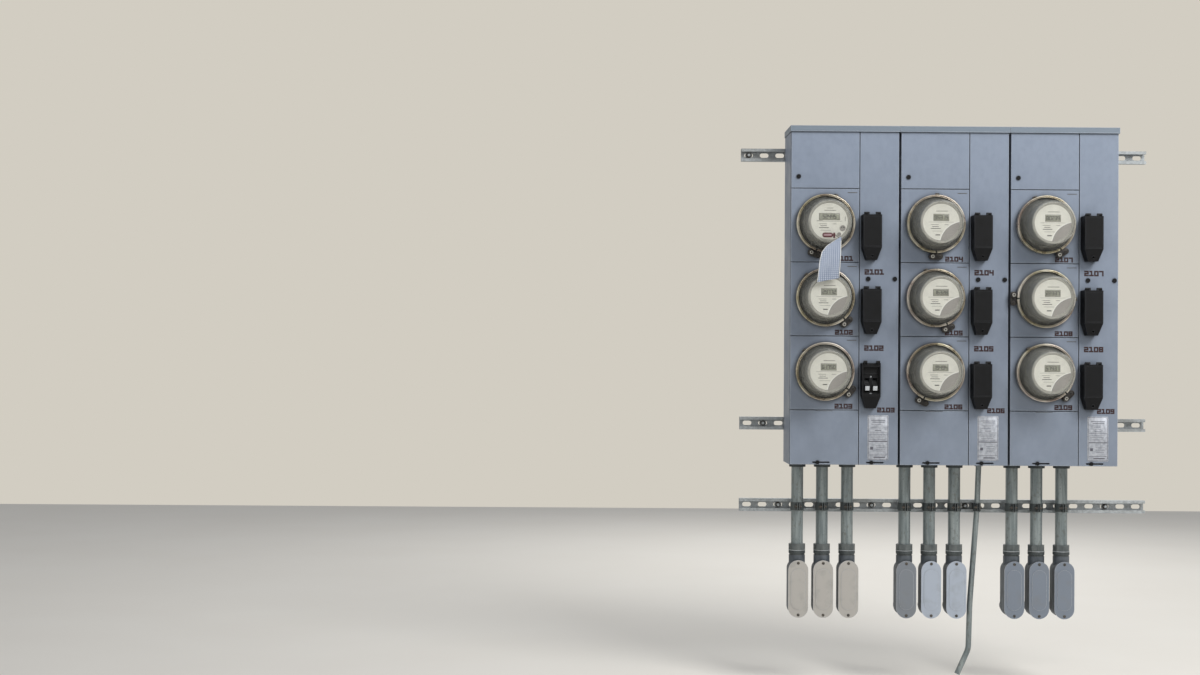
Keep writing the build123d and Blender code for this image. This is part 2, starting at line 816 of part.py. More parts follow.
screw_places = []
latch_places = []
for s in range(section_count):
    left = section_left(s)
    for x, z in [top_screw_place(left), *breaker_screw_places(left)]:
        screw_places.append((x, -front_depth, z))
    for x in (latch_in_meter_column, meter_column_width + latch_in_breaker_column):
        latch_places.append((left + x, -front_depth, cabinet_bottom + latch_above_bottom))
save_copies(stud(screw_radius, screw_rise, cover_depth), "cover_screws", screw_places)
save_copies(stud(latch_radius, latch_rise, cover_depth), "cover_latches", latch_places)


# Strut rail: a lipped channel with its slotted back on the wall and its mouth to the front
def rail(z):
    length = (slots_per_rail - 1) * slot_pitch + 2 * rail_end_margin
    half = rail_height / 2
    with BuildPart() as channel:
        with BuildSketch(Plane((-length / 2, 0, z), x_dir=(0, -1, 0), z_dir=(-1, 0, 0))):
            with BuildLine():
                Polyline(
                    (0, -half),
                    (rail_depth, -half),
                    (rail_depth, -rail_mouth / 2),
                    (rail_depth - rail_lip, -rail_mouth / 2),
                    (rail_depth - rail_lip, -rail_mouth / 2 - rail_sheet),
                    (rail_depth - rail_sheet, -rail_mouth / 2 - rail_sheet),
                    (rail_depth - rail_sheet, rail_sheet - half),
                    (rail_sheet, rail_sheet - half),
                    (rail_sheet, 0),
                    (0, 0),
                    close=True,
                )
            make_face()
            mirror(about=Plane.XZ)
        extrude(amount=-length)
        with BuildSketch(facing(0, 0, z)):
            with GridLocations(slot_pitch, 0, slots_per_rail, 1):
                SlotOverall(slot_length, slot_width)
        extrude(amount=rail_sheet, mode=Mode.SUBTRACT)
    return channel.part


save(rail(top_rail_z), "top_rail")
save(rail(0.0), "middle_rail")
save(rail(lower_rail_z), "lower_rail")


# Conduits, top to bottom: hub and locknut, tube, compression connector, conduit body, cover.
# Each piece is made on the conduit's own axis, at its true height.
conduit_top = cabinet_bottom - fit_gap
connector_low = cabinet_bottom - connector_top - connector_height
with BuildPart() as conduit:
    with BuildSketch(level(connector_low)):
        Circle(conduit_radius)
        Circle(conduit_radius - conduit_wall, mode=Mode.SUBTRACT)
    extrude(amount=conduit_top - connector_low)
save_copies(conduit.part, "conduits", conduit_places)

with BuildPart() as hub:
    with BuildSketch(level(cabinet_bottom - hub_height)):
        Circle(hub_radius)
        Circle(conduit_radius + fit_gap, mode=Mode.SUBTRACT)
    extrude(amount=hub_height)
    with BuildSketch(level(cabinet_bottom)):
        Circle(hub_nipple_radius)
        Circle(conduit_radius + fit_gap, mode=Mode.SUBTRACT)
    extrude(amount=sheet)
    with BuildSketch(level(cabinet_bottom + sheet)):
        RegularPolygon(locknut_radius, 8)
        Circle(conduit_radius + fit_gap, mode=Mode.SUBTRACT)
    extrude(amount=locknut_height)
save_copies(hub.part, "conduit_hubs", conduit_places)

with BuildPart() as connector:
    with BuildSketch(level(connector_low)):
        Circle(connector_barrel_radius)
        Circle(conduit_radius + fit_gap, mode=Mode.SUBTRACT)
    extrude(amount=connector_height - connector_nut_height)
    with BuildSketch(level(connector_low + connector_height - connector_nut_height)):
        RegularPolygon(connector_nut_radius, 8)
        Circle(conduit_radius + fit_gap, mode=Mode.SUBTRACT)
    extrude(amount=connector_nut_height)
save_copies(connector.part, "conduit_connectors", conduit_places)

body_middle = body_top - body_height / 2
body_bottom = body_top - body_height
outlet_z = body_bottom + body_width / 2
with BuildPart() as conduit_body:
    with BuildSketch(facing(body_back_depth, 0, body_middle)):
        SlotOverall(body_height, body_width, rotation=90)
    extrude(amount=body_front_depth - body_back_depth)
    with BuildSketch(level(body_top + body_hub_height, 0, conduit_depth)):
        Circle(body_hub_radius)
    extrude(amount=-body_hub_height - body_hub_root)
    with BuildSketch(facing(0, 0, outlet_z)):
        Circle(body_hub_radius)
    extrude(amount=body_back_depth)
    # Way for the wires: down through the hub, into a square-cut hollow, out at the back
    with BuildSketch(level(body_top + body_hub_height, 0, conduit_depth)):
        Circle(body_bore_radius)
    extrude(amount=-body_hub_height - body_hub_root, mode=Mode.SUBTRACT)
    with BuildSketch(facing(body_back_depth + body_wall, 0, body_middle)):
        Rectangle(body_hollow_width, body_hollow_height)
    extrude(amount=body_front_depth - body_back_depth - body_wall, mode=Mode.SUBTRACT)
    with BuildSketch(facing(0, 0, outlet_z)):
        Circle(outlet_radius)
    extrude(amount=body_back_depth + body_wall, mode=Mode.SUBTRACT)
body_places = [(x, 0.0, 0.0) for x, y, z in conduit_places]
save_copies(conduit_body.part, "conduit_bodies", body_places)

cover_height = body_height + 2 * body_cover_overlap
cover_width = body_width + 2 * body_cover_overlap
with BuildPart() as conduit_cover:
    with BuildSketch(facing(body_front_depth, 0, body_middle)):
        SlotOverall(cover_height, cover_width, rotation=90)
    extrude(amount=body_cover_thickness)
    with BuildSketch(facing(body_front_depth + body_cover_thickness, 0, body_middle)):
        panel_width = cover_width - 2 * body_cover_border
        SlotOverall(cover_height - 6 * body_cover_border, panel_width, rotation=90)
    extrude(amount=body_cover_rise)
save_copies(conduit_cover.part, "conduit_body_covers", body_places)


# Strap: a band round a conduit with a slit and bolted ears in front, and feet in the rail
def strap(radius, depth):
    inner = radius + fit_gap
    outer = inner + strap_thickness
    with BuildPart() as band:
        with BuildSketch(level(lower_rail_z - strap_width / 2)):
            with Locations((0, -depth)):
                Circle(outer)
            with Locations((0, -depth - (outer + strap_ear_length) / 2)):
                Rectangle(strap_slit + 2 * strap_thickness, outer + strap_ear_length)
            with Locations((0, -depth)):
                Circle(inner, mode=Mode.SUBTRACT)
            with Locations((0, -depth - outer)):
                Rectangle(strap_slit, 4 * strap_ear_length, mode=Mode.SUBTRACT)
        extrude(amount=strap_width)
        # Feet through the rail's mouth
        foot_span = rail_mouth - 2 * fit_gap
        with BuildSketch(level(lower_rail_z - foot_span / 2)):
            with Locations((0, -(depth + rail_sheet + fit_gap) / 2)):
                Rectangle(strap_foot_width, depth - rail_sheet - fit_gap)
            with Locations((0, -depth)):
                Circle(inner + strap_thickness / 2, mode=Mode.SUBTRACT)
        extrude(amount=foot_span)
    return band.part


ground_start = (section_left(1) + ground_x, cabinet_bottom)
strap_step = lower_rail_below_bottom / -ground_route[1][1]
ground_strap_x = ground_start[0] + ground_route[1][0] * strap_step
conduit_strap = strap(conduit_radius, conduit_depth)
ground_strap = strap(ground_radius + ground_strap_play, conduit_depth)
with BuildPart() as pipe_straps:
    with Locations(*[(x, 0.0, 0.0) for x, y, z in conduit_places]):
        add(conduit_strap)
    with Locations((ground_strap_x, 0.0, 0.0)):
        add(ground_strap)
save(pipe_straps.part, "pipe_straps")

# Thin grounding conduit: straight runs joined by long bends, in the conduits' own plane
with BuildPart() as ground_conduit:
    with BuildLine(facing(conduit_depth)) as ground_path:
        FilletPolyline(*[(ground_start[0] + x, ground_start[1] + z) for x, z in ground_route], radius=ground_bends)
    with BuildSketch(Plane(ground_path.line @ 0, z_dir=ground_path.line % 0)):
        Circle(ground_radius)
        Circle(ground_radius - ground_wall, mode=Mode.SUBTRACT)
    sweep()
    with BuildSketch(level(cabinet_bottom - ground_hub_height, ground_start[0], conduit_depth)):
        Circle(ground_hub_radius)
        Circle(ground_radius - ground_wall / 2, mode=Mode.SUBTRACT)
    extrude(amount=ground_hub_height)
save(ground_conduit.part, "grounding_conduit")

# Paper notice: a curved slip that hangs by a wire from a seal clip on the top left meter's glass
tag_back = glass_front_depth + fit_gap
tag_x = meter_x(0) - tag_shift
tag_top = meter_heights[0] - tag_drop
with BuildPart() as notice_tag:
    with BuildSketch(upright(0.0, tag_x + tag_width)):
        with BuildLine():
            back_arc = [(tag_back, 0.0), (tag_back + tag_sway, -0.5), (tag_back, -1.0)]
            ThreePointArc(*[(depth, tag_top + share * tag_height) for depth, share in back_arc])
            Line((tag_back, tag_top - tag_height), (tag_back + tag_thickness, tag_top - tag_height))
            ThreePointArc(
                *[(depth + tag_thickness, tag_top + share * tag_height) for depth, share in reversed(back_arc)]
            )
            Line((tag_back + tag_thickness, tag_top), (tag_back, tag_top))
        make_face()
    extrude(amount=2 * tag_width)
    with BuildSketch(facing(0)):
        with BuildLine():
            Polyline(*[(tag_x + x * tag_width, tag_top + z * tag_height) for x, z in tag_outline], close=True)
        make_face()
    extrude(amount=2 * glass_front_depth, mode=Mode.INTERSECT)
    with BuildSketch(facing(tag_back, meter_x(0) + tag_clip_x, tag_top + tag_clip_up)):
        SlotOverall(tag_clip_length, tag_clip_height)
    extrude(amount=tag_clip_thickness)
    with BuildSketch(facing(tag_back, meter_x(0) + tag_wire_x, tag_top)):
        Rectangle(tag_wire_length, tag_wire_width)
    extrude(amount=tag_wire_width)
save(notice_tag.part, "notice_tag")
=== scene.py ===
import json
import math
import random

import bmesh
import bpy
from mathutils import Matrix, Vector


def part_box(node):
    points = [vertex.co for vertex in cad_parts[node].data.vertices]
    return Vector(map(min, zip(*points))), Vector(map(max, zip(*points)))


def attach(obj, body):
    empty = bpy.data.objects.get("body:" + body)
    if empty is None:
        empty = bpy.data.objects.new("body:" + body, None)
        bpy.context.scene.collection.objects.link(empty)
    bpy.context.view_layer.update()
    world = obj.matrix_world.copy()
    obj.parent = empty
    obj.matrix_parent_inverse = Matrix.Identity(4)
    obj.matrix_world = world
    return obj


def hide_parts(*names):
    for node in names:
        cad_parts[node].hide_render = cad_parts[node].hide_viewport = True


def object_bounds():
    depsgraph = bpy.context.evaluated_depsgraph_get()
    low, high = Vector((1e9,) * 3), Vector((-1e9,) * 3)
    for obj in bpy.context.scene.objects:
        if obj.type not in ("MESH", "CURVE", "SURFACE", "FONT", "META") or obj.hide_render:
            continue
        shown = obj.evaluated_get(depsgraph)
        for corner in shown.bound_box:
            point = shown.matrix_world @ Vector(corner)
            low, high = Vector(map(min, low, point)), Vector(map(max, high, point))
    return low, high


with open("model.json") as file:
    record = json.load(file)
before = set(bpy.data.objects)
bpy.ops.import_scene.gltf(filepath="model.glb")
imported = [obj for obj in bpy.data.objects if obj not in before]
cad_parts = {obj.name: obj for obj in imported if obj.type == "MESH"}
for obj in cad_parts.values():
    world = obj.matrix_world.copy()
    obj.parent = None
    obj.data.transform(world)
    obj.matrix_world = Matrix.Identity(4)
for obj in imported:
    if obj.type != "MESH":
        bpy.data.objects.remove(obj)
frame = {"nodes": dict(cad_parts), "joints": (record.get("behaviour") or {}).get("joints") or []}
cad_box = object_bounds()
cad = frame["nodes"]
mm = 0.001


# Strut rails: three lengths of cold-formed channel, hot-dip galvanised after slotting.
# Anchors through their slots hold them, and they carry the cabinets and the conduits.

def seen(red, green, blue):
    """A colour as the eye reads it, 0 to 255, on the shader's own scale."""
    return (*(((part / 255 + 0.055) / 1.055) ** 2.4 for part in (red, green, blue)), 1.0)


class Finish:
    """One material, with short ways to add the nodes that feed its shader."""

    def __init__(self, name, metallic=0.0):
        self.material = bpy.data.materials.new(name)
        self.material.use_nodes = True
        self.tree = self.material.node_tree
        self.shader = self.tree.nodes["Principled BSDF"]
        self.shader.inputs["Metallic"].default_value = metallic
        self.tone = None

    def add(self, kind, inputs, output=0, **settings):
        made = self.tree.nodes.new("ShaderNode" + kind)
        for name, value in settings.items():
            setattr(made, name, value)
        for socket, value in inputs.items():
            if isinstance(value, bpy.types.NodeSocket):
                self.tree.links.new(value, made.inputs[socket])
            else:
                made.inputs[socket].default_value = value
        return made.outputs[output]

    def place(self):
        return self.add("TexCoord", {}, "Object")

    def along(self, axis):
        """How far a point lies along an axis."""
        return self.add("SeparateXYZ", {0: self.place()}, axis)

    def cloud(self, size, detail=3.0, stretch=(1, 1, 1)):
        """Soft random patches of about that size, drawn out along an axis by stretch."""
        scale = [1 / (size * s) for s in stretch]
        spread = self.add("Mapping", {"Vector": self.place(), "Scale": scale})
        return self.add("TexNoise", {"Vector": spread, "Scale": 1.0, "Detail": detail}, 0)

    def share(self, value, low, high, at_low=0.0, at_high=1.0):
        """Turns low to high into at_low to at_high, and stays there beyond them."""
        return self.add("MapRange", {"Value": value, "From Min": low, "From Max": high,
                                     "To Min": at_low, "To Max": at_high})

    def times(self, first, second):
        return self.add("Math", {0: first, 1: second}, operation="MULTIPLY")

    def plus(self, first, second):
        return self.add("Math", {0: first, 1: second}, operation="ADD", use_clamp=True)

    def edges(self, width):
        """1 along edges and 0 on flat faces: where paler colour is painted as highlight along edges."""
        rounded = self.add("Bevel", {"Radius": width}, samples=4)
        plain = self.add("NewGeometry", {}, "Normal")
        lean = self.add("VectorMath", {0: rounded, 1: plain}, "Value", operation="DOT_PRODUCT")
        return self.share(lean, 0.90, 0.995, 1.0, 0.0)

    def corners(self, reach):
        """1 in seams and inner corners, 0 in the open: where shade is painted in."""
        openness = self.add("AmbientOcclusion", {"Distance": reach}, "AO", samples=6)
        return self.share(openness, 0.45, 0.92, 1.0, 0.0)

    def upward(self, low, high):
        """1 on faces that look up, where dust settles."""
        tilt = self.add("SeparateXYZ", {0: self.add("NewGeometry", {}, "Normal")}, "Z")
        return self.share(tilt, low, high)

    def mix(self, amount, first, second):
        self.tone = self.add("Mix", {0: amount, 6: first, 7: second}, 2, data_type="RGBA")
        self.tree.links.new(self.tone, self.shader.inputs["Base Color"])

    def ground(self, amount, first, second):
        """The colour itself, from one tone to another by amount."""
        self.mix(amount, seen(*first), seen(*second))

    def coat(self, amount, colour):
        """A colour over what is there already, by amount."""
        self.mix(amount, self.tone, seen(*colour))

    def gloss(self, pattern, smooth, dull, low=0.3, high=0.7):
        rough = self.share(pattern, low, high, smooth, dull)
        self.tree.links.new(rough, self.shader.inputs["Roughness"])

    def relief(self, height, depth, strength):
        normal = self.add("Bump", {"Height": height, "Distance": depth, "Strength": strength})
        self.tree.links.new(normal, self.shader.inputs["Normal"])


def dress(finish, *nodes):
    """Gives CAD nodes their finish."""
    for node in nodes:
        cad[node].data.materials.clear()
        cad[node].data.materials.append(finish)


def galvanised_finish():
    zinc = Finish("galvanised_zinc", metallic=0.35)
    spangle = zinc.cloud(9 * mm, 4.0)
    stain = zinc.cloud(60 * mm, 3.0, (3, 1, 1))
    zinc.ground(zinc.share(spangle, 0.35, 0.65), (152, 157, 159), (180, 185, 187))
    zinc.coat(zinc.share(stain, 0.52, 0.70, 0.0, 0.45), (112, 110, 103))
    # Painted shade: darker in the channel's inner corners and seams
    zinc.coat(zinc.times(zinc.corners(7 * mm), 0.6), (74, 72, 68))
    zinc.gloss(spangle, 0.48, 0.70)
    zinc.relief(spangle, 0.15 * mm, 0.4)
    return zinc.material


def dark_steel_finish():
    steel = Finish("weathered_dark_steel", metallic=0.6)
    rust = steel.cloud(7 * mm, 4.0)
    steel.ground(steel.share(rust, 0.42, 0.62), (58, 58, 56), (94, 86, 78))
    # Painted highlight: paler along the edges
    steel.coat(steel.edges(1.0 * mm), (132, 130, 124))
    steel.gloss(rust, 0.45, 0.75)
    steel.relief(rust, 0.2 * mm, 0.5)
    return steel.material


def turned(profile, steps=72, first=0.0, last=360.0):
    """A mesh turned about the line that looks at the viewer.
    The profile is (radius, distance towards the viewer), and angles run clockwise from the top."""
    mesh = bmesh.new()
    whole = last - first > 359.9
    rings = []
    for step in range(steps if whole else steps + 1):
        angle = math.radians(first + (last - first) * step / steps)
        rings.append([mesh.verts.new((r * math.sin(angle), -d, r * math.cos(angle))) for r, d in profile])
    for one, two in zip(rings, rings[1:] + rings[:1] if whole else rings[1:]):
        for k in range(len(profile) - 1):
            mesh.faces.new((one[k], one[k + 1], two[k + 1], two[k]))
    if not whole:
        closed = profile[0] == profile[-1]
        for ring in (rings[0], rings[-1]):
            mesh.faces.new(ring[:-1] if closed else ring)
    bmesh.ops.remove_doubles(mesh, verts=mesh.verts, dist=0.002 * mm)
    bmesh.ops.dissolve_degenerate(mesh, edges=mesh.edges, dist=0.001 * mm)
    bmesh.ops.recalc_face_normals(mesh, faces=mesh.faces)
    return mesh


def at(x, depth, z):
    """A place, its depth being how far forward it lies."""
    return Matrix.Translation((x, -depth, z))


def stud(radius, top, bevel=None, foot=0.0, steps=24):
    """A turned stud from foot to top. Its bevel is how far the rim comes in, and how far down it starts."""
    rim = [(radius, top - bevel[1]), (radius - bevel[0], top)] if bevel else [(radius, top)]
    return turned([(0, foot), (radius, foot), *rim, (0, top)], steps)


def plate(outline, back, front, rounding=0.0):
    """A flat piece: an (x, z) outline from distance back to distance front, with soft edges."""
    mesh = bmesh.new()
    face = mesh.faces.new([mesh.verts.new((x, -back, z)) for x, z in outline])
    made = bmesh.ops.extrude_face_region(mesh, geom=[face])["geom"]
    lifted = [v for v in made if isinstance(v, bmesh.types.BMVert)]
    bmesh.ops.translate(mesh, verts=lifted, vec=(0, back - front, 0))
    bmesh.ops.recalc_face_normals(mesh, faces=mesh.faces)
    if rounding:
        sharp = [e for e in mesh.edges if e.calc_face_angle(0) > 0.5]
        bmesh.ops.bevel(mesh, geom=sharp, offset=rounding, segments=2, affect="EDGES", profile=0.5)
    return mesh


def block(width, height, x=0.0, z=0.0):
    """The outline of a rectangle round the point x, z."""
    return [(x + sx * width / 2, z + sz * height / 2) for sx, sz in ((-1, -1), (1, -1), (1, 1), (-1, 1))]


def disc(radius, corners, x=0.0, z=0.0, turn=0.0):
    """The outline of a regular polygon round the point x, z."""
    angles = [turn + 2 * math.pi * k / corners for k in range(corners)]
    return [(x + radius * math.cos(a), z + radius * math.sin(a)) for a in angles]


def assemble(name, parts, materials, body="bank"):
    """One piece from (mesh, place, material number) parts, riding on a body."""
    whole = bmesh.new()
    for mesh, place, number in parts:
        loose = bpy.data.meshes.new("part")
        mesh.to_mesh(loose)
        known = len(whole.faces), len(whole.verts)
        whole.from_mesh(loose)
        whole.faces.ensure_lookup_table()
        whole.verts.ensure_lookup_table()
        for face in whole.faces[known[0]:]:
            face.material_index = number
            face.smooth = True
        bmesh.ops.transform(whole, matrix=place, verts=whole.verts[known[1]:])
        bpy.data.meshes.remove(loose)
    data = bpy.data.meshes.new(name)
    whole.to_mesh(data)
    whole.free()
    data.set_sharp_from_angle(angle=math.radians(32))
    for material in materials:
        data.materials.append(material)
    piece = bpy.data.objects.new(name, data)
    bpy.context.scene.collection.objects.link(piece)
    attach(piece, body)
    return piece


slot_pitch = 50.8 * mm
rail_sheet = 2.6 * mm
washer_radius, washer_thickness = 11.5 * mm, 1.6 * mm
hexagon_radius, hexagon_thickness = 8.4 * mm, 7.0 * mm
thread_radius, thread_foot, thread_end = 4.6 * mm, 8 * mm, 13.8 * mm
# The slots that hold an anchor, counted from the rail's middle in half pitches
anchored = {"top_rail": (-25,), "middle_rail": (-23,), "lower_rail": (-21, -9, 3, 21)}

zinc = galvanised_finish()
dark_steel = dark_steel_finish()
dress(zinc, *anchored)
anchors = []
for rail, slots in anchored.items():
    low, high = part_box(rail)
    for number in slots:
        seat = at(number * slot_pitch / 2, rail_sheet, (low.z + high.z) / 2)
        washer = stud(washer_radius, washer_thickness, steps=40)
        hexagon = plate(disc(hexagon_radius, 6, turn=0.3 * number), washer_thickness,
                        washer_thickness + hexagon_thickness, 0.8 * mm)
        thread = stud(thread_radius, thread_end, (0.6 * mm, 0.8 * mm), thread_foot)
        anchors += [(washer, seat, 0), (hexagon, seat, 1), (thread, seat, 0)]
assemble("wall_anchors", anchors, [zinc, dark_steel])


# Cabinets: three folded sheet-steel boxes with a rain cap, sprayed with blue-grey enamel
# that has gone chalky. They are bolted through their backs to the two upper rails.

columns = ("left", "middle", "right")
cabinet_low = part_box("enclosure_left")[0]
cabinet_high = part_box("enclosure_right")[1]
cap_height = 19 * mm
cap_foot = cabinet_high.z - cap_height
# A folded hem along the foot of each rain cap, and a finer one along its top: height, lift, proud
cap_folds = ((2.6 * mm, 1.7 * mm, 0.9 * mm), (1.2 * mm, 17.9 * mm, 0.5 * mm))


def enamel_finish():
    enamel = Finish("blue_grey_enamel")
    climb = enamel.share(enamel.along("Z"), cabinet_low.z, cabinet_high.z)
    enamel.ground(climb, (122, 131, 144), (130, 141, 158))
    bloom = enamel.cloud(70 * mm, 5.0)
    enamel.coat(enamel.share(bloom, 0.38, 0.68, 0.0, 0.35), (140, 150, 166))
    mottle = enamel.cloud(14 * mm, 4.0, (1, 1, 1.6))
    enamel.coat(enamel.share(mottle, 0.42, 0.70, 0.0, 0.22), (112, 121, 136))
    specks = enamel.cloud(3.2 * mm, 2.0)
    enamel.coat(enamel.share(specks, 0.66, 0.76, 0.0, 0.40), (98, 104, 112))
    cap = enamel.share(enamel.along("Z"), cap_foot - 0.5 * mm, cap_foot + 0.5 * mm, 0.0, 0.7)
    enamel.coat(cap, (112, 124, 133))
    # Painted highlight: pale lines along the sheet edges
    enamel.coat(enamel.times(enamel.edges(1.8 * mm), 0.8), (188, 196, 206))
    # Painted shade: darker in the seams and inner corners, more in some patches than in others
    seam_shade = enamel.times(enamel.corners(16 * mm), enamel.share(bloom, 0.3, 0.6, 0.55, 0.95))
    enamel.coat(seam_shade, (60, 66, 74))
    enamel.gloss(bloom, 0.42, 0.62, 0.35, 0.65)
    enamel.relief(enamel.plus(enamel.times(specks, 0.5), enamel.cloud(1.6 * mm, 2.0)), 0.06 * mm, 0.35)
    return enamel.material


def in_place(meshes, number=0):
    """Parts that are built where they belong."""
    return [(mesh, Matrix.Identity(4), number) for mesh in meshes]


enamel = enamel_finish()
hems = []
for side in columns:
    dress(enamel, "enclosure_" + side)
    low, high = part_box("enclosure_" + side)
    for height, lift, proud in cap_folds:
        hem = block(high.x - low.x - 0.4 * mm, height, (low.x + high.x) / 2, high.z - cap_height + lift)
        hems.append(plate(hem, -low.y - 0.2 * mm, proud - low.y, 0.3 * mm))
assemble("cap_hems", in_place(hems), [enamel])


# Bus bars: plated bars that carry the supply across all three cabinets and down to the breakers.
# They stand on posts bolted to the cabinets' backs, behind everything else.

def mottled_finish(name, dark, light, patch, gloss, depth, strength, detail=4.0, metallic=0.0,
                   stretch=(1, 1, 1)):
    """Two near tones in soft patches, which the gloss and the relief follow."""
    made = Finish(name, metallic)
    patches = made.cloud(patch, detail, stretch)
    made.ground(patches, dark, light)
    made.gloss(patches, *gloss)
    made.relief(patches, depth, strength)
    return made.material


tin_plating = mottled_finish("tin_plating", (168, 170, 172), (214, 215, 214), 20 * mm, (0.28, 0.5),
                             0.1 * mm, 0.3, metallic=0.9, stretch=(4, 1, 4))
dress(tin_plating, "bus_bars")


# Meter sockets: an insulating block on two posts with four spring jaws, one set for each meter.
# The block is pressed phenolic, brown-black and matt.

dress(mottled_finish("pressed_phenolic", (38, 30, 26), (66, 54, 46), 4 * mm, (0.45, 0.6), 0.1 * mm, 0.4),
      "meter_sockets")


# Main breakers: nine two-pole breakers pushed into black moulded frames on the breaker covers.
# Cases, frames and flaps are the same black moulding, gone slightly grey where dust lies.

rows = ("top", "middle", "bottom")
sites = [(column, row) for column in columns for row in rows]
breaker_front = -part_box("breakers")[0].y
shafts = {joint["child"]: Vector(joint["pos_m"]) for joint in frame["joints"]}
handle_centres = {site: shafts["breaker_toggle_%s_%s" % site] for site in sites}
shaft_below_frame_top = 68.7 * mm
pocket_below_frame_top = 12 * mm
# A raised bar above the handles with two studs over it, and a mark above and below the handles
bar_width, bar_height, bar_drop, bar_proud = 44 * mm, 5 * mm, 22 * mm, 1.6 * mm
stud_across, stud_drop = 17 * mm, 10 * mm
mark_height, mark_proud = 3.4 * mm, 0.1 * mm
marks = (("ON", 31 * mm), ("OFF", 84 * mm))
# How deep a mark or a trim is sunk in what carries it
bedding = 0.1 * mm


def black_moulding_finish():
    moulding = Finish("black_moulding")
    bloom = moulding.cloud(22 * mm, 4.0)
    pits = moulding.cloud(1.4 * mm, 2.0)
    moulding.ground(bloom, (9, 10, 12), (20, 21, 24))
    dust = moulding.times(moulding.upward(0.5, 0.98), moulding.share(pits, 0.3, 0.7, 0.2, 0.55))
    moulding.coat(dust, (86, 87, 86))
    # Painted highlight: paler along the edges
    moulding.coat(moulding.times(moulding.edges(1.4 * mm), 0.5), (70, 72, 76))
    moulding.shader.inputs["Specular IOR Level"].default_value = 0.2
    moulding.gloss(bloom, 0.45, 0.62)
    moulding.relief(pits, 0.12 * mm, 0.5)
    return moulding.material


# Where each bar stands in its figure, across and up, and its length across (0 for an upright one)
BARS = {"a": (0.5, 1.0, 1), "b": (1.0, 0.75, 0), "c": (1.0, 0.25, 0), "d": (0.5, 0.0, 1),
        "e": (0.0, 0.25, 0), "f": (0.0, 0.75, 0), "g": (0.5, 0.5, 1),
        "h": (0.55, 0.75, 0), "i": (0.55, 0.25, 0), "j": (0.30, 1.0, 0.5)}
FIGURES = {"0": "abcdef", "1": "bc", "2": "abged", "3": "abgcd", "4": "fgbc", "5": "afgcd", "6": "afgedc",
           "7": "abc", "8": "abcdefg", "9": "abcdfg", "O": "abcdef", "N": "abcef", "F": "aefg"}


def figures(text, x, z, height, back, front, pitch=0.82, stroke=0.16, width=0.52, shapes=FIGURES):
    """Bar figures in a row, centred on x, z. Pitch, stroke and width are shares of their height.
    An upright bar stops at the flat bars that it meets, so that no two bars overlap."""
    made = []
    wide, thick = height * width, height * stroke
    start = x - (len(text) - 1) * height * pitch / 2
    for place, sign in enumerate(text):
        bars = shapes[sign]
        for bar in bars:
            across, up, flat = BARS[bar]
            middle = start + place * height * pitch + (across - 0.5) * wide
            if flat:
                outline = block(wide * flat + thick, thick, middle, z + (up - 0.5) * height)
            else:
                capped = set(bars) & ({"a", "j"} if up > 0.5 else {"d"})
                inner = thick / 2 if "g" in bars else 0.0
                outer = height / 2 + (-thick / 2 if capped else thick / 2)
                side = 1 if up > 0.5 else -1
                outline = block(thick, outer - inner, middle, z + side * (inner + outer) / 2)
            made.append(plate(outline, back, front))
    return made


black_moulding = black_moulding_finish()
white_plastic = mottled_finish("white_plastic", (184, 188, 192), (218, 221, 222), 5 * mm, (0.3, 0.5),
                               0.1 * mm, 0.3)
dress(black_moulding, "breakers", "breaker_frames")
face_marks = []
for shaft in handle_centres.values():
    pocket_top = shaft.z + shaft_below_frame_top - pocket_below_frame_top
    bar = plate(block(bar_width, bar_height, shaft.x, pocket_top - bar_drop), breaker_front - bedding,
                breaker_front + bar_proud, 0.6 * mm)
    face_marks += in_place([bar])
    for side in (-1, 1):
        seat = at(shaft.x + side * stud_across, breaker_front - bedding, pocket_top - stud_drop)
        face_marks.append((stud(2.6 * mm, 1.2 * mm, (0.6 * mm, 0.4 * mm)), seat, 0))
    for word, drop in marks:
        face_marks += in_place(figures(word, shaft.x, pocket_top - drop, mark_height, breaker_front - bedding,
                                       breaker_front + mark_proud), 1)
assemble("breaker_face_marks", face_marks, [black_moulding, white_plastic])


# Breaker handles: each pair is moulded black, its two grips joined by one shaft.
# White caps are moulded into the grips' ends, so that the thrown side is seen from afar.

handle_width, handle_height, handle_spacing = 14.4 * mm, 15.6 * mm, 24.6 * mm
rest_droop = 19
grip_reach = 32 * mm
cap_inset, cap_depth, cap_proud = 0.8 * mm, 3 * mm, 0.5 * mm
cap_rib_width, cap_rib_height, cap_rib_pitch, cap_rib_proud = 11.4 * mm, 0.9 * mm, 2.6 * mm, 0.8 * mm


def swung(degrees, axis="Y"):
    """A turn about an axis. About Y it runs clockwise as the viewer sees it."""
    return Matrix.Rotation(math.radians(degrees), 4, axis)


cap = [plate(block(handle_width - cap_inset, handle_height - cap_inset), grip_reach - cap_depth,
             grip_reach + cap_proud, 0.9 * mm)]
for k in range(-2, 3):
    rib = block(cap_rib_width, cap_rib_height, 0, k * cap_rib_pitch)
    cap.append(plate(rib, grip_reach + cap_proud - bedding, grip_reach + cap_rib_proud))
for site, shaft in handle_centres.items():
    node = "breaker_toggle_%s_%s" % site
    dress(black_moulding, node)
    caps = []
    for side in (-1, 1):
        seat = at(shaft.x + side * handle_spacing / 2, -shaft.y, shaft.z) @ swung(rest_droop, "X")
        caps += [(part, seat, 0) for part in cap]
    assemble("handle_caps_%s_%s" % site, caps, [white_plastic], node)


# Flaps: shallow black lids hung on pins in the frames' ears, with a padlock hole in the foot.
# One is missing, so its breaker stands open.

flap_crease = 104 * mm
crease_width, crease_height = 57.4 * mm, 2.2 * mm
rail_width, rail_length, rail_across = 1.6 * mm, 98 * mm, 27.6 * mm
flap_face_back, trim_sunk, trim_proud, trim_edge = 0.6 * mm, 0.3 * mm, 0.5 * mm, 0.25 * mm
foot_slope = math.atan2(12, 38)
hole_below_top = 130 * mm
hole_fall = (hole_below_top - flap_crease) * math.tan(foot_slope)


def in_mm(*points):
    return [(a * mm, b * mm) for a, b in points]


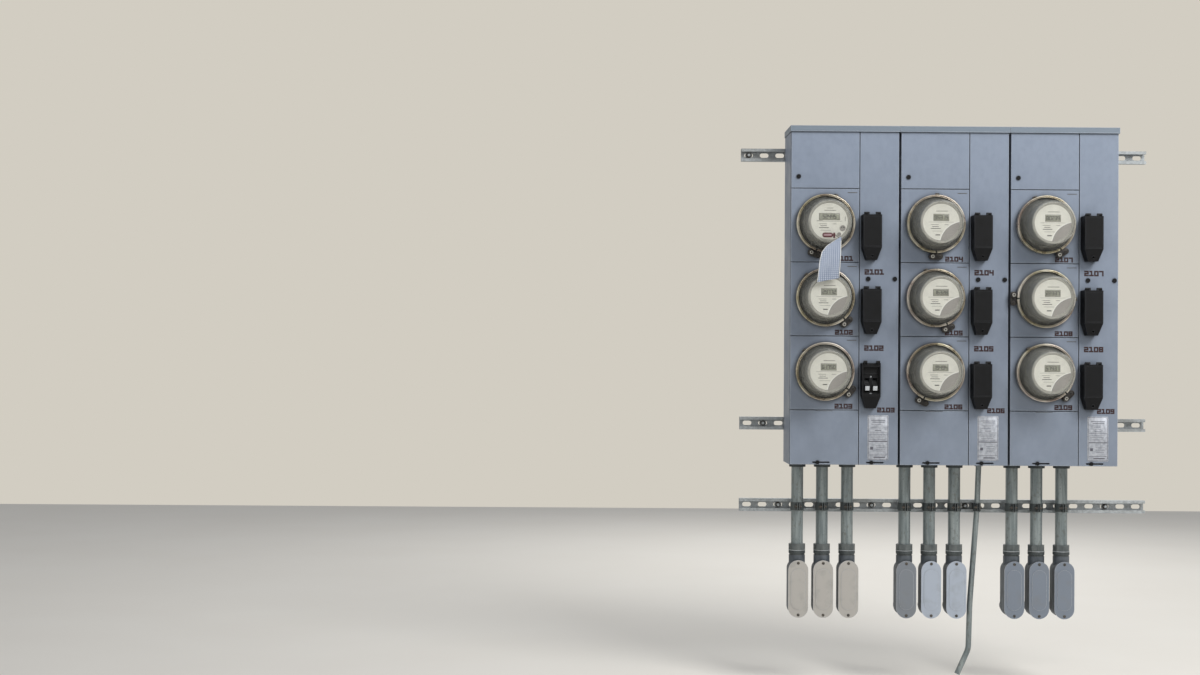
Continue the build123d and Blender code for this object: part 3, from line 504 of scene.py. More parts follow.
eyelet = turned(in_mm((3.3, -0.5), (5.6, -0.5), (5.6, 0.5), (5, 0.9), (3.9, 0.9), (3.3, 0.5),
                      (3.3, -0.5)), 30)
for site, shaft in handle_centres.items():
    flap = "breaker_flap_%s_%s" % site
    if flap not in cad:
        continue
    dress(black_moulding, flap)
    low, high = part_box(flap)
    face = -low.y - flap_face_back
    seat = at((low.x + high.x) / 2, 0, shaft.z + shaft_below_frame_top)
    strips = [block(crease_width, crease_height, 0, 1.3 * mm - flap_crease)]
    strips += [block(rail_width, rail_length, side * rail_across, -flap_crease / 2) for side in (-1, 1)]
    trims = [(plate(strip, face - trim_sunk, face + trim_proud, trim_edge), seat, 0) for strip in strips]
    hole = seat @ at(0, face - hole_fall, -hole_below_top)
    trims.append((eyelet, hole @ Matrix.Rotation(foot_slope, 4, "X"), 0))
    assemble("flap_trims_%s_%s" % site, trims, [black_moulding], flap)


# Covers: folded steel trays in the same enamel as the cabinets, set edge to edge.
# Screws and latch studs hold them, and each meter cover is pressed into a round collar.

dress(enamel, *(node for node in cad if "_cover_" in node))
dress(black_moulding, "cover_screws", "cover_latches")
cover_front = -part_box("lower_cover_left")[0].y
rib_shade_width, rib_shade_height, rib_shade_in, rib_shade_drop = 30 * mm, 1.8 * mm, 22 * mm, 12 * mm
notch_shade_width, notch_shade_height, notch_shade_drop = 54 * mm, 4.4 * mm, 1.8 * mm
notch_shade_back, notch_shade_front = 7 * mm, 1.6 * mm

# A thin raised dark strip at each meter cover's upper right corner: a pressed rib, dark as painted shade
# along it
rib_shades = []
for site in sites:
    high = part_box("meter_cover_%s_%s" % site)[1]
    strip = block(rib_shade_width, rib_shade_height, high.x - rib_shade_in, high.z - rib_shade_drop)
    rib_shades.append(plate(strip, cover_front - bedding, cover_front + 0.5 * mm, 0.25 * mm))
assemble("cover_ribs", in_place(rib_shades), [dark_steel])

# A black strip behind the finger notch of each lower cover, standing as painted shade in the notch
gaskets = []
for side in columns:
    low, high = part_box("lower_cover_" + side)
    strip = block(notch_shade_width, notch_shade_height, (low.x + high.x) / 2, high.z - notch_shade_drop)
    gaskets.append(plate(strip, cover_front - notch_shade_back, cover_front - notch_shade_front, 0.4 * mm))
assemble("notch_gaskets", in_place(gaskets), [black_moulding])


# Unit numbers: brushed on by hand through a stencil in dark red, under each breaker
# and at the lower right of each meter cover.

red_paint = mottled_finish("dark_red_paint", (22, 2, 6), (50, 8, 14), 3 * mm, (0.45, 0.7), 0.1 * mm, 0.4)
# A stencil's "1" has a foot and a flag
STENCIL = {**FIGURES, "1": "hijd"}
first_number = 2101
number_proud = 0.15 * mm
# On the meter cover: in from its right edge, up from its foot, and the figures' height
cover_number = (47 * mm, 11 * mm, 11.6 * mm)
# On the breaker cover, from the handles' shaft: across, down, and the figures' height
breaker_number = {"top": (13 * mm, 110 * mm, 12.6 * mm), "middle": (13 * mm, 117 * mm, 12.6 * mm),
                  "bottom": (52 * mm, 79 * mm, 11.4 * mm)}

numbers = []
for count, site in enumerate(sites):
    low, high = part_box("meter_cover_%s_%s" % site)
    shaft = handle_centres[site]
    inward, rise, cover_tall = cover_number
    across, down, breaker_tall = breaker_number[site[1]]
    for x, z, tall in ((high.x - inward, low.z + rise, cover_tall),
                       (shaft.x + across, shaft.z - down, breaker_tall)):
        numbers += figures(str(first_number + count), x, z, tall, cover_front - bedding,
                           cover_front + number_proud, 1.24, 0.38, 0.76, STENCIL)
assemble("unit_numbers", in_place(numbers), [red_paint])


# Label plates: thin bright aluminium, cut at the corners and riveted to the breaker covers.
# They are ruled into fields and bare.

label_width, label_height, label_clip = 66 * mm, 141 * mm, 2 * mm
label_from_left, label_below_top = 280.5 * mm, 913 * mm
label_proud, ink_proud = 0.5 * mm, 0.58 * mm
rivet_across, rivet_drop = 29 * mm, 6 * mm
# The rules on a label, in millimetres: width, height, right of its middle and below its top
label_rules = [(62, 1.2, 0, 2.4), (62, 1.2, 0, 138.6), (1.2, 137, -30.4, 70.5), (1.2, 137, 30.4, 70.5)]
label_rules += [(44, 1.8, 0, 15.7), (38, 1.8, 2, 21.6), (20, 1.8, 0, 47.5), (56, 1.0, 0, 53)]
label_rules += [(58, 2.8, 0, 82), (56, 1.2, 0, 125), (9, 9, -20, 104), (36, 3.4, 4, 132)]
label_rules += [(30 - 8 * (k % 2), 0.9, 4 * (k % 2) - 6, 29 + 5 * k) for k in range(3)]
label_rules += [(50 - 6 * (k % 3), 0.9, -2, 60 + 5.4 * k) for k in range(4)]
label_rules += [(30 - 5 * (k % 2), 1.0, 8, 96 + 5.5 * k) for k in range(4)]


def bright_plate_finish():
    bright = Finish("bright_aluminium", metallic=0.55)
    rub = bright.cloud(10 * mm, 5.0)
    bright.ground(bright.share(rub, 0.35, 0.65), (158, 163, 173), (190, 194, 202))
    bright.gloss(rub, 0.3, 0.55)
    bright.relief(rub, 0.15 * mm, 0.5)
    return bright.material


def ink_finish(name, dark, light):
    return mottled_finish(name, dark, light, 4 * mm, (0.5, 0.7), 0.05 * mm, 0.3)


def clipped_block(width, height, cut, x, z):
    """The outline of a rectangle round the point x, z, with its corners cut off."""
    w, h = width / 2, height / 2
    return [(x - w + cut, z + h), (x + w - cut, z + h), (x + w, z + h - cut), (x + w, z - h + cut),
            (x + w - cut, z - h), (x - w + cut, z - h), (x - w, z - h + cut), (x - w, z + h - cut)]


rivet = turned(in_mm((0, 0), (2.2, 0), (1.8, 0.8), (0, 1.1)), 20)
labels = []
for side in columns:
    low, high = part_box("enclosure_" + side)
    x, top = low.x + label_from_left, high.z - label_below_top
    rim = clipped_block(label_width, label_height, label_clip, x, top - label_height / 2)
    labels += in_place([plate(rim, cover_front - bedding, cover_front + label_proud, 0.15 * mm)])
    face = cover_front + label_proud - bedding
    for width, height, right, down in label_rules:
        rule = block(width * mm, height * mm, x + right * mm, top - down * mm)
        labels += in_place([plate(rule, face, cover_front + ink_proud)], 1)
    for across in (-rivet_across, rivet_across):
        for down in (rivet_drop, label_height - rivet_drop):
            labels.append((rivet, at(x + across, face, top - down), 0))
grey_ink = ink_finish("grey_ink", (66, 66, 76), (98, 98, 106))
assemble("label_plates", labels, [bright_plate_finish(), grey_ink])


# Meters: each has a moulded base with four blades behind, a ribbed works drum in front and
# a bezel round its dial. The base sits on the cover's collar.

rim_front = -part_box("meter_bodies")[0].y
collar_face = -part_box("meter_cover_left_top")[0].y
dial_back = rim_front - collar_face
meter_lift = 5 * mm
meter_flange, flange_thickness, flange_edge = 88 * mm, 5 * mm, 0.8 * mm
boss_radius, boss_length = 76 * mm, 18 * mm
drum_radius, drum_taper = 66 * mm, 0.052
rib_pitch, rib_depth = 6.2 * mm, 0.5 * mm
# A rib and the groove after it: how far along the pitch, and how deep
rib_steps = ((0.0, 0.0), (0.62, 0.0), (0.72, rib_depth), (0.92, rib_depth))
blade_width, blade_height, blade_length, blade_x, blade_z = 2.4 * mm, 19 * mm, 24 * mm, 32 * mm, 38 * mm

meter_centres = {}
for site in sites:
    low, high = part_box("meter_cover_%s_%s" % site)
    meter_centres[site] = (low + high) / 2 + Vector((0, 0, meter_lift))


def meter_seats(depth):
    """The middle of each meter, that far forward of the rails' backs."""
    return {site: at(spot.x, depth, spot.z) for site, spot in meter_centres.items()}


def drum_profile():
    """The base's boss and flange, then the works drum, which narrows in ribs towards the dial."""
    points = [(0, -boss_length), (boss_radius, -boss_length), (boss_radius, 0), (meter_flange, 0),
              (meter_flange, flange_thickness - flange_edge), (meter_flange - flange_edge, flange_thickness),
              (drum_radius + 1.5 * mm, flange_thickness)]
    depth = flange_thickness
    while depth + rib_pitch < dial_back:
        for along, inset in rib_steps:
            reach = depth + along * rib_pitch
            points.append((drum_radius - drum_taper * reach - inset, reach + 0.3 * mm))
        depth += rib_pitch
    end = drum_radius - drum_taper * dial_back
    return points + [(end, dial_back - 0.5 * mm), (end - 1 * mm, dial_back), (0, dial_back)]


def works_moulding_finish():
    """Dark moulding painted with shade: darkest deep inside the cover and paler towards the dial, where the
    dusty glass is nearer.
    """
    works = Finish("grey_green_moulding")
    cast = works.cloud(26 * mm, 4.0)
    works.ground(cast, (32, 33, 31), (44, 45, 42))
    # Painted shade: dark deep inside the cover, lifting to a pale tone towards the dial
    out_of_shade = works.share(works.along("Y"), -collar_face - 6 * mm, -collar_face - 0.75 * dial_back)
    works.coat(out_of_shade, (108, 109, 102))
    works.gloss(cast, 0.45, 0.65)
    works.relief(works.cloud(1.2 * mm, 2.0), 0.05 * mm, 0.4)
    return works.material


drum = turned(drum_profile(), 84)
blades = [plate(block(blade_width, blade_height, sx * blade_x, sz * blade_z), -boss_length - blade_length,
                -boss_length, 0.4 * mm) for sx in (-1, 1) for sz in (-1, 1)]
works = []
for seat in meter_seats(collar_face).values():
    works += [(drum, seat, 0)] + [(blade, seat, 1) for blade in blades]
meter_works = assemble("meter_works", works, [works_moulding_finish(), tin_plating])
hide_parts("meter_bodies")


# Dials: cream printed plates inside a grey bezel, each with a display window above the middle.
# The print is plain rules and fields, and the display shows a reading.

dial_radius, dial_thickness = 57.4 * mm, 2 * mm
bezel_radius, bezel_gap = 64.6 * mm, 1.6 * mm
round_steps = 84
display_up, display_height, narrow_display, wide_display = 14.5 * mm, 19 * mm, 46 * mm, 62 * mm
reading_height, ink_rise = 10.5 * mm, 0.12 * mm
# Only the top left meter is of the wide kind, with a wider display and two round ports
wide_site = ("left", "top")
# Printed rules, in millimetres: width, height, right of the dial's middle and above it
grey_rules = [(36, 2.0, 2, 34), (78, 0.9, 0, 0), (24, 1.6, -20, -8), (32, 1.0, -12, -28), (12, 1.6, 16, -8)]
dark_rules = [(20, 1.6, -18, -14), (30, 2.0, -17, -20), (14, 3.2, -11, -40)]
wide_rules = [(20, 1.6, 2, 41), (18, 1.2, -30, 2), (1.6, 14, 49, 8)]
ports = ((41 * mm, -21 * mm, 9.0 * mm), (30 * mm, -40 * mm, 6.0 * mm))
port_rim, port_floor = 3.6 * mm, 2.4 * mm
pins = ((37.5 * mm, -19 * mm), (44.5 * mm, -19 * mm))


def cream_plate_finish():
    cream = Finish("cream_dial_plate")
    age = cream.cloud(40 * mm, 3.0)
    cream.ground(age, (204, 202, 190), (218, 217, 206))
    cream.gloss(age, 0.4, 0.55)
    cream.relief(cream.cloud(1.0 * mm, 2.0), 0.03 * mm, 0.3)
    return cream.material


display = mottled_finish("display_glass", (132, 133, 118), (152, 153, 138), 12 * mm, (0.15, 0.3),
                         0.05 * mm, 0.2, detail=3.0)
pale_line = ink_finish("pale_print", (228, 228, 220), (240, 240, 234))
dark_ink = ink_finish("dark_ink", (44, 44, 42), (72, 72, 68))
print_grey = ink_finish("print_grey", (104, 103, 96), (132, 130, 122))
bezel_grey = ink_finish("bezel_grey", (160, 158, 148), (180, 178, 168))
field_grey = ink_finish("field_grey", (134, 130, 124), (152, 148, 142))
dial_finishes = [cream_plate_finish(), bezel_grey, display, print_grey, field_grey, dark_ink, pale_line]
CREAM, BEZEL, DISPLAY, PRINT, FIELD, INK, PALE = range(len(dial_finishes))


def flat_ring(inside, outside, back, front):
    corners = [(inside, back), (outside, back), (outside, front), (inside, front), (inside, back)]
    return turned(corners, round_steps)


bezel_inside = dial_radius + bezel_gap
# The bezel's front, from its outer edge inwards, in millimetres: how far in, and how far forward
bezel_steps = ((0, 0), (0, 2.2), (0.6, 3), (1.8, 3), (2.0, 1.6), (3.0, 1.6), (3.2, 2.8))
bezel_front = [(bezel_radius - inward * mm, forward * mm) for inward, forward in bezel_steps]
bezel = turned([(bezel_inside, 0), *bezel_front, (bezel_inside + 0.3 * mm, 2.8 * mm),
                (bezel_inside, 2.4 * mm), (bezel_inside, 0)], round_steps)
dial_disc = stud(dial_radius, dial_thickness, (0.2 * mm, 0.2 * mm), steps=round_steps)
shadow_rings = [flat_ring(dial_radius - 0.2 * mm, bezel_inside + 0.2 * mm, 0.2 * mm, 1.4 * mm),
                flat_ring(bezel_radius - 3.1 * mm, bezel_radius - 1.9 * mm, 1.4 * mm, 1.9 * mm)]


def arc(x, z, radius, first, last, step):
    """Points on a circle round x, z, from one angle to another in degrees, the right being 0 and up 90."""
    angles = [math.radians(d) for d in range(first, last + (1 if step > 0 else -1), step)]
    return [(x + radius * math.cos(a), z + radius * math.sin(a)) for a in angles]


def corner_field():
    """The grey field at the dial's lower right, inside the dial and outside a large arc, and that arc."""
    rim = arc(0, 0, dial_radius - 0.6 * mm, -94, 2, 4)
    start, end = Vector(rim[-1]), Vector(rim[0])
    sag = Vector((-0.71, 0.70)) * 13 * mm
    back = [tuple(start.lerp(end, k / 14) + sag * 4 * (k / 14) * (1 - k / 14)) for k in range(1, 14)]
    return rim + back, [tuple(start), *back, tuple(end)]


def ribbon(line, width, back, front):
    """A narrow strip along a line."""
    left, right = [], []
    for k, (x, z) in enumerate(line):
        ahead = Vector(line[min(k + 1, len(line) - 1)]) - Vector(line[max(k - 1, 0)])
        side = Vector((-ahead.y, ahead.x)).normalized() * width / 2
        left.append((x + side.x, z + side.y))
        right.append((x - side.x, z - side.y))
    return plate(left + right[::-1], back, front)


def on_dial(outline, proud, number, sunk=bedding, rounding=0.0):
    """A flat form on the dial's face."""
    return plate(outline, dial_thickness - sunk, dial_thickness + proud, rounding), number


def ruled(rules, number):
    """Printed rules on the dial's face."""
    return [on_dial(block(w * mm, h * mm, x * mm, z * mm), ink_rise, number) for w, h, x, z in rules]


def wide_dial_parts():
    """The longer rules, the two round ports and the pins in the larger of them."""
    parts = ruled(wide_rules, PRINT)
    for x, z, r in ports:
        port = turned([(0, dial_thickness), (r, dial_thickness), (r, port_rim), (r * 0.82, port_rim),
                       (r * 0.72, port_floor), (0, port_floor)], 32)
        bmesh.ops.translate(port, verts=port.verts, vec=(x, 0, z))
        parts.append((port, FIELD))
    return parts + [on_dial(disc(1.7 * mm, 12, x, z), 2.2 * mm, INK, 0, 0.3 * mm) for x, z in pins]


def narrow_dial_parts():
    """The grey corner field and the pale line along its arc."""
    field, edge = corner_field()
    line = ribbon(edge, 1.8 * mm, dial_thickness - bedding / 2, dial_thickness + 0.2 * mm)
    return [on_dial(field, ink_rise, FIELD), (line, PALE)]


def printed_dial(reading, wide):
    """The dial's parts at its own middle: (mesh, material number)."""
    window = wide_display if wide else narrow_display
    surround = block(window + 3 * mm, display_height + 3 * mm, 0, display_up)
    glass = block(window, display_height, 0, display_up)
    parts = [(dial_disc, CREAM), (bezel, BEZEL)] + [(ring, PRINT) for ring in shadow_rings]
    parts.append(on_dial(surround, 0.5 * mm, PRINT, rounding=0.3 * mm))
    parts.append(on_dial(glass, 0.7 * mm, DISPLAY, 0, 0.2 * mm))
    bars = figures(reading, 0, display_up, reading_height, dial_thickness + 0.6 * mm,
                   dial_thickness + 0.82 * mm, stroke=0.18)
    parts += [(bar, INK) for bar in bars] + ruled(grey_rules, PRINT) + ruled(dark_rules, INK)
    return parts + (wide_dial_parts() if wide else narrow_dial_parts())


random.seed(7)
dials = []
for site, seat in meter_seats(rim_front).items():
    reading = "%05d" % random.randrange(10000, 99999)
    dials += [(mesh, seat, number) for mesh, number in printed_dial(reading, site == wide_site)]
dial_plates = assemble("meter_dial_plates", dials, dial_finishes)
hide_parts("meter_dials")


# Glass covers: clear moulded cups with a flange at the back, filmed with dust.
# They twist onto the base, and the sealing ring holds the flange.

glass_low, glass_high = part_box("meter_glasses")
glass_length = glass_high.y - glass_low.y
glass_seat = -glass_high.y
glass_front, glass_side, glass_rim = 68.5 * mm, 77 * mm, 84 * mm
glass_curl, glass_flare = 7 * mm, 1.5 * mm
glass_wall = glass_flange = 2.4 * mm
pane_reach = glass_front - glass_curl
pane_back = glass_length - glass_curl
pane_steps = [pane_reach * k / 8 for k in range(9)]
glass_inside = [(r, glass_length - glass_wall) for r in pane_steps]
glass_inside += arc(pane_reach, pane_back, glass_curl - glass_wall, 80, 0, -10)
glass_inside.append((glass_side - glass_wall, 0))
glass_outside = [(glass_rim, 0), (glass_rim, glass_flange), (glass_side + glass_flare, glass_flange),
                 (glass_side, glass_flange + glass_flare), *arc(pane_reach, pane_back, glass_curl, 0, 80, 10)]
glass_outside += [(r, glass_length) for r in reversed(pane_steps)]
glass_cup = turned(glass_inside + glass_outside, 96)


def dusty_glass_finish(name, rim_share, film_low, film_high, rim_blend):
    """Clear plastic under dust: film_low to film_high is how much of it hides what is behind."""
    glass = Finish(name)
    glass.shader.inputs["IOR"].default_value = 1.45
    dust = glass.cloud(18 * mm, 5.0)
    glass.ground(dust, (186, 188, 180), (214, 212, 202))
    # The film thickens where the glass is seen at a slant: partly dust seen edge-on, partly painted
    # reflection in place of the glass's gloss
    rim = glass.add("LayerWeight", {"Blend": rim_blend}, "Facing")
    film = glass.share(dust, 0.35, 0.7, film_low, film_high)
    glass.tree.links.new(glass.plus(glass.times(rim, rim_share), film), glass.shader.inputs["Alpha"])
    glass.gloss(dust, 0.08, 0.28)
    glass.relief(dust, 0.05 * mm, 0.1)
    return glass.material


# The second finish, denser and paler, is a painted highlight along the glass's front curl
glass_finishes = [dusty_glass_finish("dusty_glass_side", 0.30, 0.05, 0.11, 0.25),
                  dusty_glass_finish("dusty_glass_curl_highlight", 0.30, 0.10, 0.20, 0.40),
                  dusty_glass_finish("dusty_glass_front", 0.25, 0.02, 0.06, 0.2)]
SIDE, CURL_HIGHLIGHT, FRONT = range(len(glass_finishes))
cups = [(glass_cup, seat, SIDE) for seat in meter_seats(glass_seat).values()]
glasses = assemble("glass_covers", cups, glass_finishes)
# The front curl takes the painted highlight, the flat pane the clear front finish
for face in glasses.data.polygons:
    if -face.center.y - glass_seat > pane_back:
        face.material_index = FRONT if abs(face.normal.y) > 0.999 else CURL_HIGHLIGHT
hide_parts("meter_glasses")


# Sealing rings: split channels of rolled, plated strip that clamp the meter to its collar.
# The plating has yellowed, and each ring has weathered to its own shade.

ring_low, ring_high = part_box("sealing_rings")
ring_front = -ring_low.y - collar_face
ring_back = collar_face + ring_high.y
ring_outside, ring_inside, ring_channel = 92 * mm, 84.8 * mm, 88.3 * mm
ring_bead, ring_lip, ring_heel, ring_fold = 2.4 * mm, 1.2 * mm, 3 * mm, 4 * mm
ring_gap = 5 * mm
# Where each ring's lock and its lug sit, in degrees clockwise from the top
lock_angles = dict(zip(sites, (200, 139, 128, 180, 157, 204, 150, 270, 135)))
lug_angles = dict(zip(sites, (20, 319, 315, 2, 340, 29, 337, 90, 324)))


def ring_profile():
    start = (ring_inside, -ring_back)
    heel = arc(ring_outside - ring_heel, ring_heel - ring_back, ring_heel, -90, 0, 18)
    groove = [(ring_outside - inward * mm, up * mm) for inward, up in ((0, 0), (0.7, 1), (0.7, 3), (0, 4))]
    crown = arc(ring_outside - ring_bead, ring_front - ring_bead, ring_bead, 0, 165, 15)
    lip = arc(ring_inside + ring_lip, ring_front - 2.2 * mm, ring_lip, 30, 180, 30)
    channel = [(ring_inside, ring_front - ring_fold), (ring_channel, ring_front - ring_fold),
               (ring_channel, ring_fold - ring_back), (ring_inside, ring_fold - ring_back)]
    return [start, *heel, *groove, *crown, *lip, *channel, start]


def yellowed_plating_finish():
    plating = Finish("yellowed_plating", metallic=0.65)
    shade = plating.cloud(200 * mm, 2.0)
    wear_and_highlight = plating.cloud(46 * mm, 3.0)
    plating.ground(plating.share(shade, 0.40, 0.60), (178, 170, 142), (180, 168, 158))
    # Painted highlight: pale patches on the band; the same cloud's low end gives real dark brown wear
    plating.coat(plating.share(wear_and_highlight, 0.48, 0.66, 0.0, 0.7), (230, 226, 214))
    plating.coat(plating.share(wear_and_highlight, 0.32, 0.46, 0.5, 0.0), (108, 88, 80))
    # Painted shade: darker in the ring's groove and channel
    plating.coat(plating.times(plating.corners(5 * mm), 0.9), (44, 38, 34))
    plating.gloss(wear_and_highlight, 0.2, 0.42)
    plating.relief(wear_and_highlight, 0.2 * mm, 0.4)
    return plating.material


half_gap = math.degrees(ring_gap / 2 / ring_outside)
band = turned(ring_profile(), 110, half_gap, 360 - half_gap)
lug_face = ring_front - 3 * mm
lug = plate(block(12 * mm, 9 * mm, 0, ring_outside + 0.5 * mm), 3 * mm - ring_back, lug_face, 1.2 * mm)
lug_pin = stud(1.8 * mm, 3.6 * mm, (0.6 * mm, 0.6 * mm), steps=20)
lug_pin_seat = at(0, lug_face, ring_outside + 2.2 * mm)
rings = []
for site, seat in meter_seats(collar_face).items():
    lug_seat = seat @ swung(lug_angles[site])
    rings += [(band, seat @ swung(lock_angles[site]), 0), (lug, lug_seat, 1),
              (lug_pin, lug_seat @ lug_pin_seat, 1)]
ring_pieces = assemble("plated_rings", rings, [yellowed_plating_finish(), dark_steel])
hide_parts("sealing_rings")


# Ring locks: a blued steel bracket over each ring's split, with a key barrel at one end.
# The barrel's bright plug turns in a dark sleeve.

lock_low, lock_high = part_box("ring_locks")
lock_back = collar_face + lock_high.y
lock_front = -lock_low.y - collar_face
lock_length, lock_height, lock_thickness = 44 * mm, 20 * mm, 13 * mm
lock_foot = ring_outside + 0.3 * mm
lock_middle = lock_foot + lock_height / 2
barrel_radius, barrel_edge, barrel_across, barrel_depth = 9 * mm, 1.2 * mm, 11.5 * mm, lock_front + lock_back
plug_recess, plug_proud = 2.5 * mm, 2.6 * mm
screw_across = -12 * mm


def bracket_outline():
    """A long round-ended bracket, hollowed where it rides on the ring."""
    right = arc((lock_length - lock_height) / 2, lock_middle, lock_height / 2, 90, -60, -15)
    left = [(-x, z) for x, z in reversed(right)]
    under = [(x * mm, math.sqrt(lock_foot ** 2 - (x * mm) ** 2)) for x in range(14, -15, -4)]
    return right + under + left


blued_steel = Finish("blued_steel", metallic=0.5)
grease = blued_steel.cloud(6 * mm, 4.0)
blued_steel.ground(blued_steel.share(grease, 0.40, 0.65), (34, 34, 36), (62, 58, 54))
# Painted highlight: paler along the edges
blued_steel.coat(blued_steel.edges(1.0 * mm), (112, 110, 106))
blued_steel.gloss(grease, 0.35, 0.65)
blued_steel.relief(grease, 0.2 * mm, 0.5)
bright_plug = mottled_finish("bright_plug", (176, 176, 172), (222, 222, 218), 2 * mm, (0.2, 0.4),
                             0.05 * mm, 0.3, detail=3.0, metallic=0.9)

bracket = plate(bracket_outline(), -lock_back, lock_thickness - lock_back, 1.2 * mm)
sleeve = turned([(0, 0), (barrel_radius, 0), (barrel_radius, barrel_depth - barrel_edge),
                 (barrel_radius - barrel_edge, barrel_depth), (6.4 * mm, barrel_depth),
                 (6.0 * mm, barrel_depth - plug_recess), (0, barrel_depth - plug_recess)], 40)
plug = turned(in_mm((0, 0), (5.6, 0), (5.6, 2), (4.8, 2.6), (3.2, 2.6), (2.8, 0.8), (0, 0.8)), 32)
keyway = stud(2.7 * mm, 1.3 * mm, foot=0.6 * mm)
lock_screw = turned(in_mm((0, 0), (4, 0), (4, 1.2), (3, 2.2), (0, 2.4)), 28)
locks = []
for site, meter in meter_seats(collar_face).items():
    seat = meter @ swung(lock_angles[site])
    sleeve_seat = seat @ at(barrel_across, -lock_back, lock_middle)
    plug_seat = seat @ at(barrel_across, lock_front - plug_proud, lock_middle)
    screw_seat = seat @ at(screw_across, lock_thickness - lock_back - bedding, lock_middle)
    locks += [(bracket, seat, 0), (sleeve, sleeve_seat, 0), (plug, plug_seat, 1), (keyway, plug_seat, 0),
              (lock_screw, screw_seat, 0)]
lock_pieces = assemble("barrel_locks", locks, [blued_steel.material, bright_plug])
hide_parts("ring_locks")


# Conduits: nine steel tubes from hubs in the cabinets' floors down to cast bodies that turn
# backwards. Tubes, hubs and connectors are dull, and the bodies' lids are lighter.

conduits_from_left = (44 * mm, 124 * mm, 205 * mm)
conduit_places = [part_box("enclosure_" + side)[0].x + across
                  for side in columns for across in conduits_from_left]
conduit_axis, conduit_ear, thin_conduit_ear = 49.8 * mm, 28.5 * mm, 19.3 * mm
thin_conduit_at_rail = 106.1 * mm
lid_low, lid_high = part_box("conduit_body_covers")
lid_face = -lid_low.y - 1.2 * mm
lid_middle = (lid_low.z + lid_high.z) / 2
lid_screw_reach = (lid_high.z - lid_low.z) / 2 - 9 * mm
field_width, field_height, field_rim = 14 * mm, 30 * mm, 1 * mm
nut_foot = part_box("conduit_connectors")[1].z - 19 * mm
strap_low, strap_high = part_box("pipe_straps")


def dull_tube_finish():
    tube = Finish("dull_grey_green_tube", metallic=0.4)
    run = tube.cloud(10 * mm, 4.0, (1, 1, 14))
    tube.ground(tube.share(run, 0.35, 0.65), (112, 122, 124), (146, 154, 154))
    scab = tube.cloud(9 * mm, 4.0, (1, 1, 2))
    tube.coat(tube.share(scab, 0.58, 0.70, 0.0, 0.5), (92, 88, 80))
    pits = tube.cloud(3 * mm, 3.0, (1, 1, 2.5))
    tube.coat(tube.share(pits, 0.60, 0.72, 0.0, 0.6), (66, 72, 74))
    tube.gloss(run, 0.32, 0.5)
    tube.relief(scab, 0.12 * mm, 0.4)
    return tube.material


def cast_finish(name, dark, light):
    cast = Finish(name, metallic=0.3)
    sand = cast.cloud(2.2 * mm, 3.0)
    stain = cast.cloud(24 * mm, 4.0, (1, 1, 2))
    cast.ground(cast.share(stain, 0.35, 0.65), dark, light)
    # Painted highlight: paler along the edges
    cast.coat(cast.times(cast.edges(1.2 * mm), 0.6), (128, 132, 132))
    # Painted shade: darker in the inner corners and seams
    cast.coat(cast.times(cast.corners(10 * mm), 0.6), (34, 36, 37))
    cast.gloss(sand, 0.5, 0.7)
    cast.relief(sand, 0.2 * mm, 0.6)
    return cast.material


def lid_enamel_finish():
    """Lids of four shades, left to right: cream-grey, grey, pale blue-grey and blue-grey."""
    lid = Finish("enamelled_lids")
    wear = lid.cloud(34 * mm, 5.0)
    lid.ground(lid.share(lid.along("X"), -0.23, -0.22), (176, 172, 165), (122, 127, 133))
    lid.coat(lid.share(lid.along("X"), -0.09, -0.088), (168, 176, 187))
    lid.coat(lid.share(lid.along("X"), 0.125, 0.13), (120, 128, 139))
    lid.coat(lid.share(wear, 0.52, 0.72, 0.0, 0.3), (122, 122, 120))
    # Painted highlight: pale rims along the lids' edges
    lid.coat(lid.times(lid.edges(1.6 * mm), 0.7), (208, 212, 216))
    # Painted shade: darker in the inner corners and round the raised parts
    lid.coat(lid.times(lid.corners(6 * mm), 0.6), (66, 70, 74))
    lid.gloss(wear, 0.4, 0.6)
    lid.relief(lid.cloud(2 * mm, 3.0), 0.1 * mm, 0.4)
    return lid.material


dark_casting = cast_finish("dark_casting", (56, 62, 64), (80, 86, 86))
lid_enamel = lid_enamel_finish()
dress(dull_tube_finish(), "conduits", "grounding_conduit")
dress(dark_casting, "conduit_hubs", "pipe_straps")
dress(cast_finish("connector_casting", (80, 86, 87), (108, 113, 112)), "conduit_connectors")
dress(cast_finish("grey_casting", (76, 82, 88), (104, 110, 116)), "conduit_bodies")
dress(lid_enamel, "conduit_body_covers")

# Two slotted screws and a small bare raised field on each lid
screw_head = turned(in_mm((0, 0), (4.6, 0), (4.6, 0.5), (3.6, 1.1), (0, 1.15)), 28)
screw_slot = plate(block(7.4 * mm, 1.1 * mm), 0.9 * mm, 1.18 * mm)
lid_screws, field_bars = [], []
for count, x in enumerate(conduit_places):
    for side in (-1, 1):
        seat = at(x, lid_face - 0.05 * mm, lid_middle + side * lid_screw_reach)
        seat = seat @ Matrix.Rotation(0.7 * count + side, 4, "Y")
        lid_screws += [(screw_head, seat, 0), (screw_slot, seat, 0)]
        for bar in (block(field_width + field_rim, field_rim, x, lid_middle + side * field_height / 2),
                    block(field_rim, field_height + field_rim, x + side * field_width / 2, lid_middle)):
            field_bars.append(plate(bar, lid_face + 0.8 * mm, lid_face + 1.15 * mm, 0.15 * mm))
assemble("lid_screws", lid_screws, [dark_steel])
assemble("lid_fields", in_place(field_bars), [lid_enamel])


def cut_ring(inside, outside, back, front, cut):
    """The profile of a ring with both of its outer edges cut off."""
    return [(inside, back), (outside - cut, back), (outside, back + cut), (outside, front - cut),
            (outside - cut, front), (inside, front), (inside, back)]


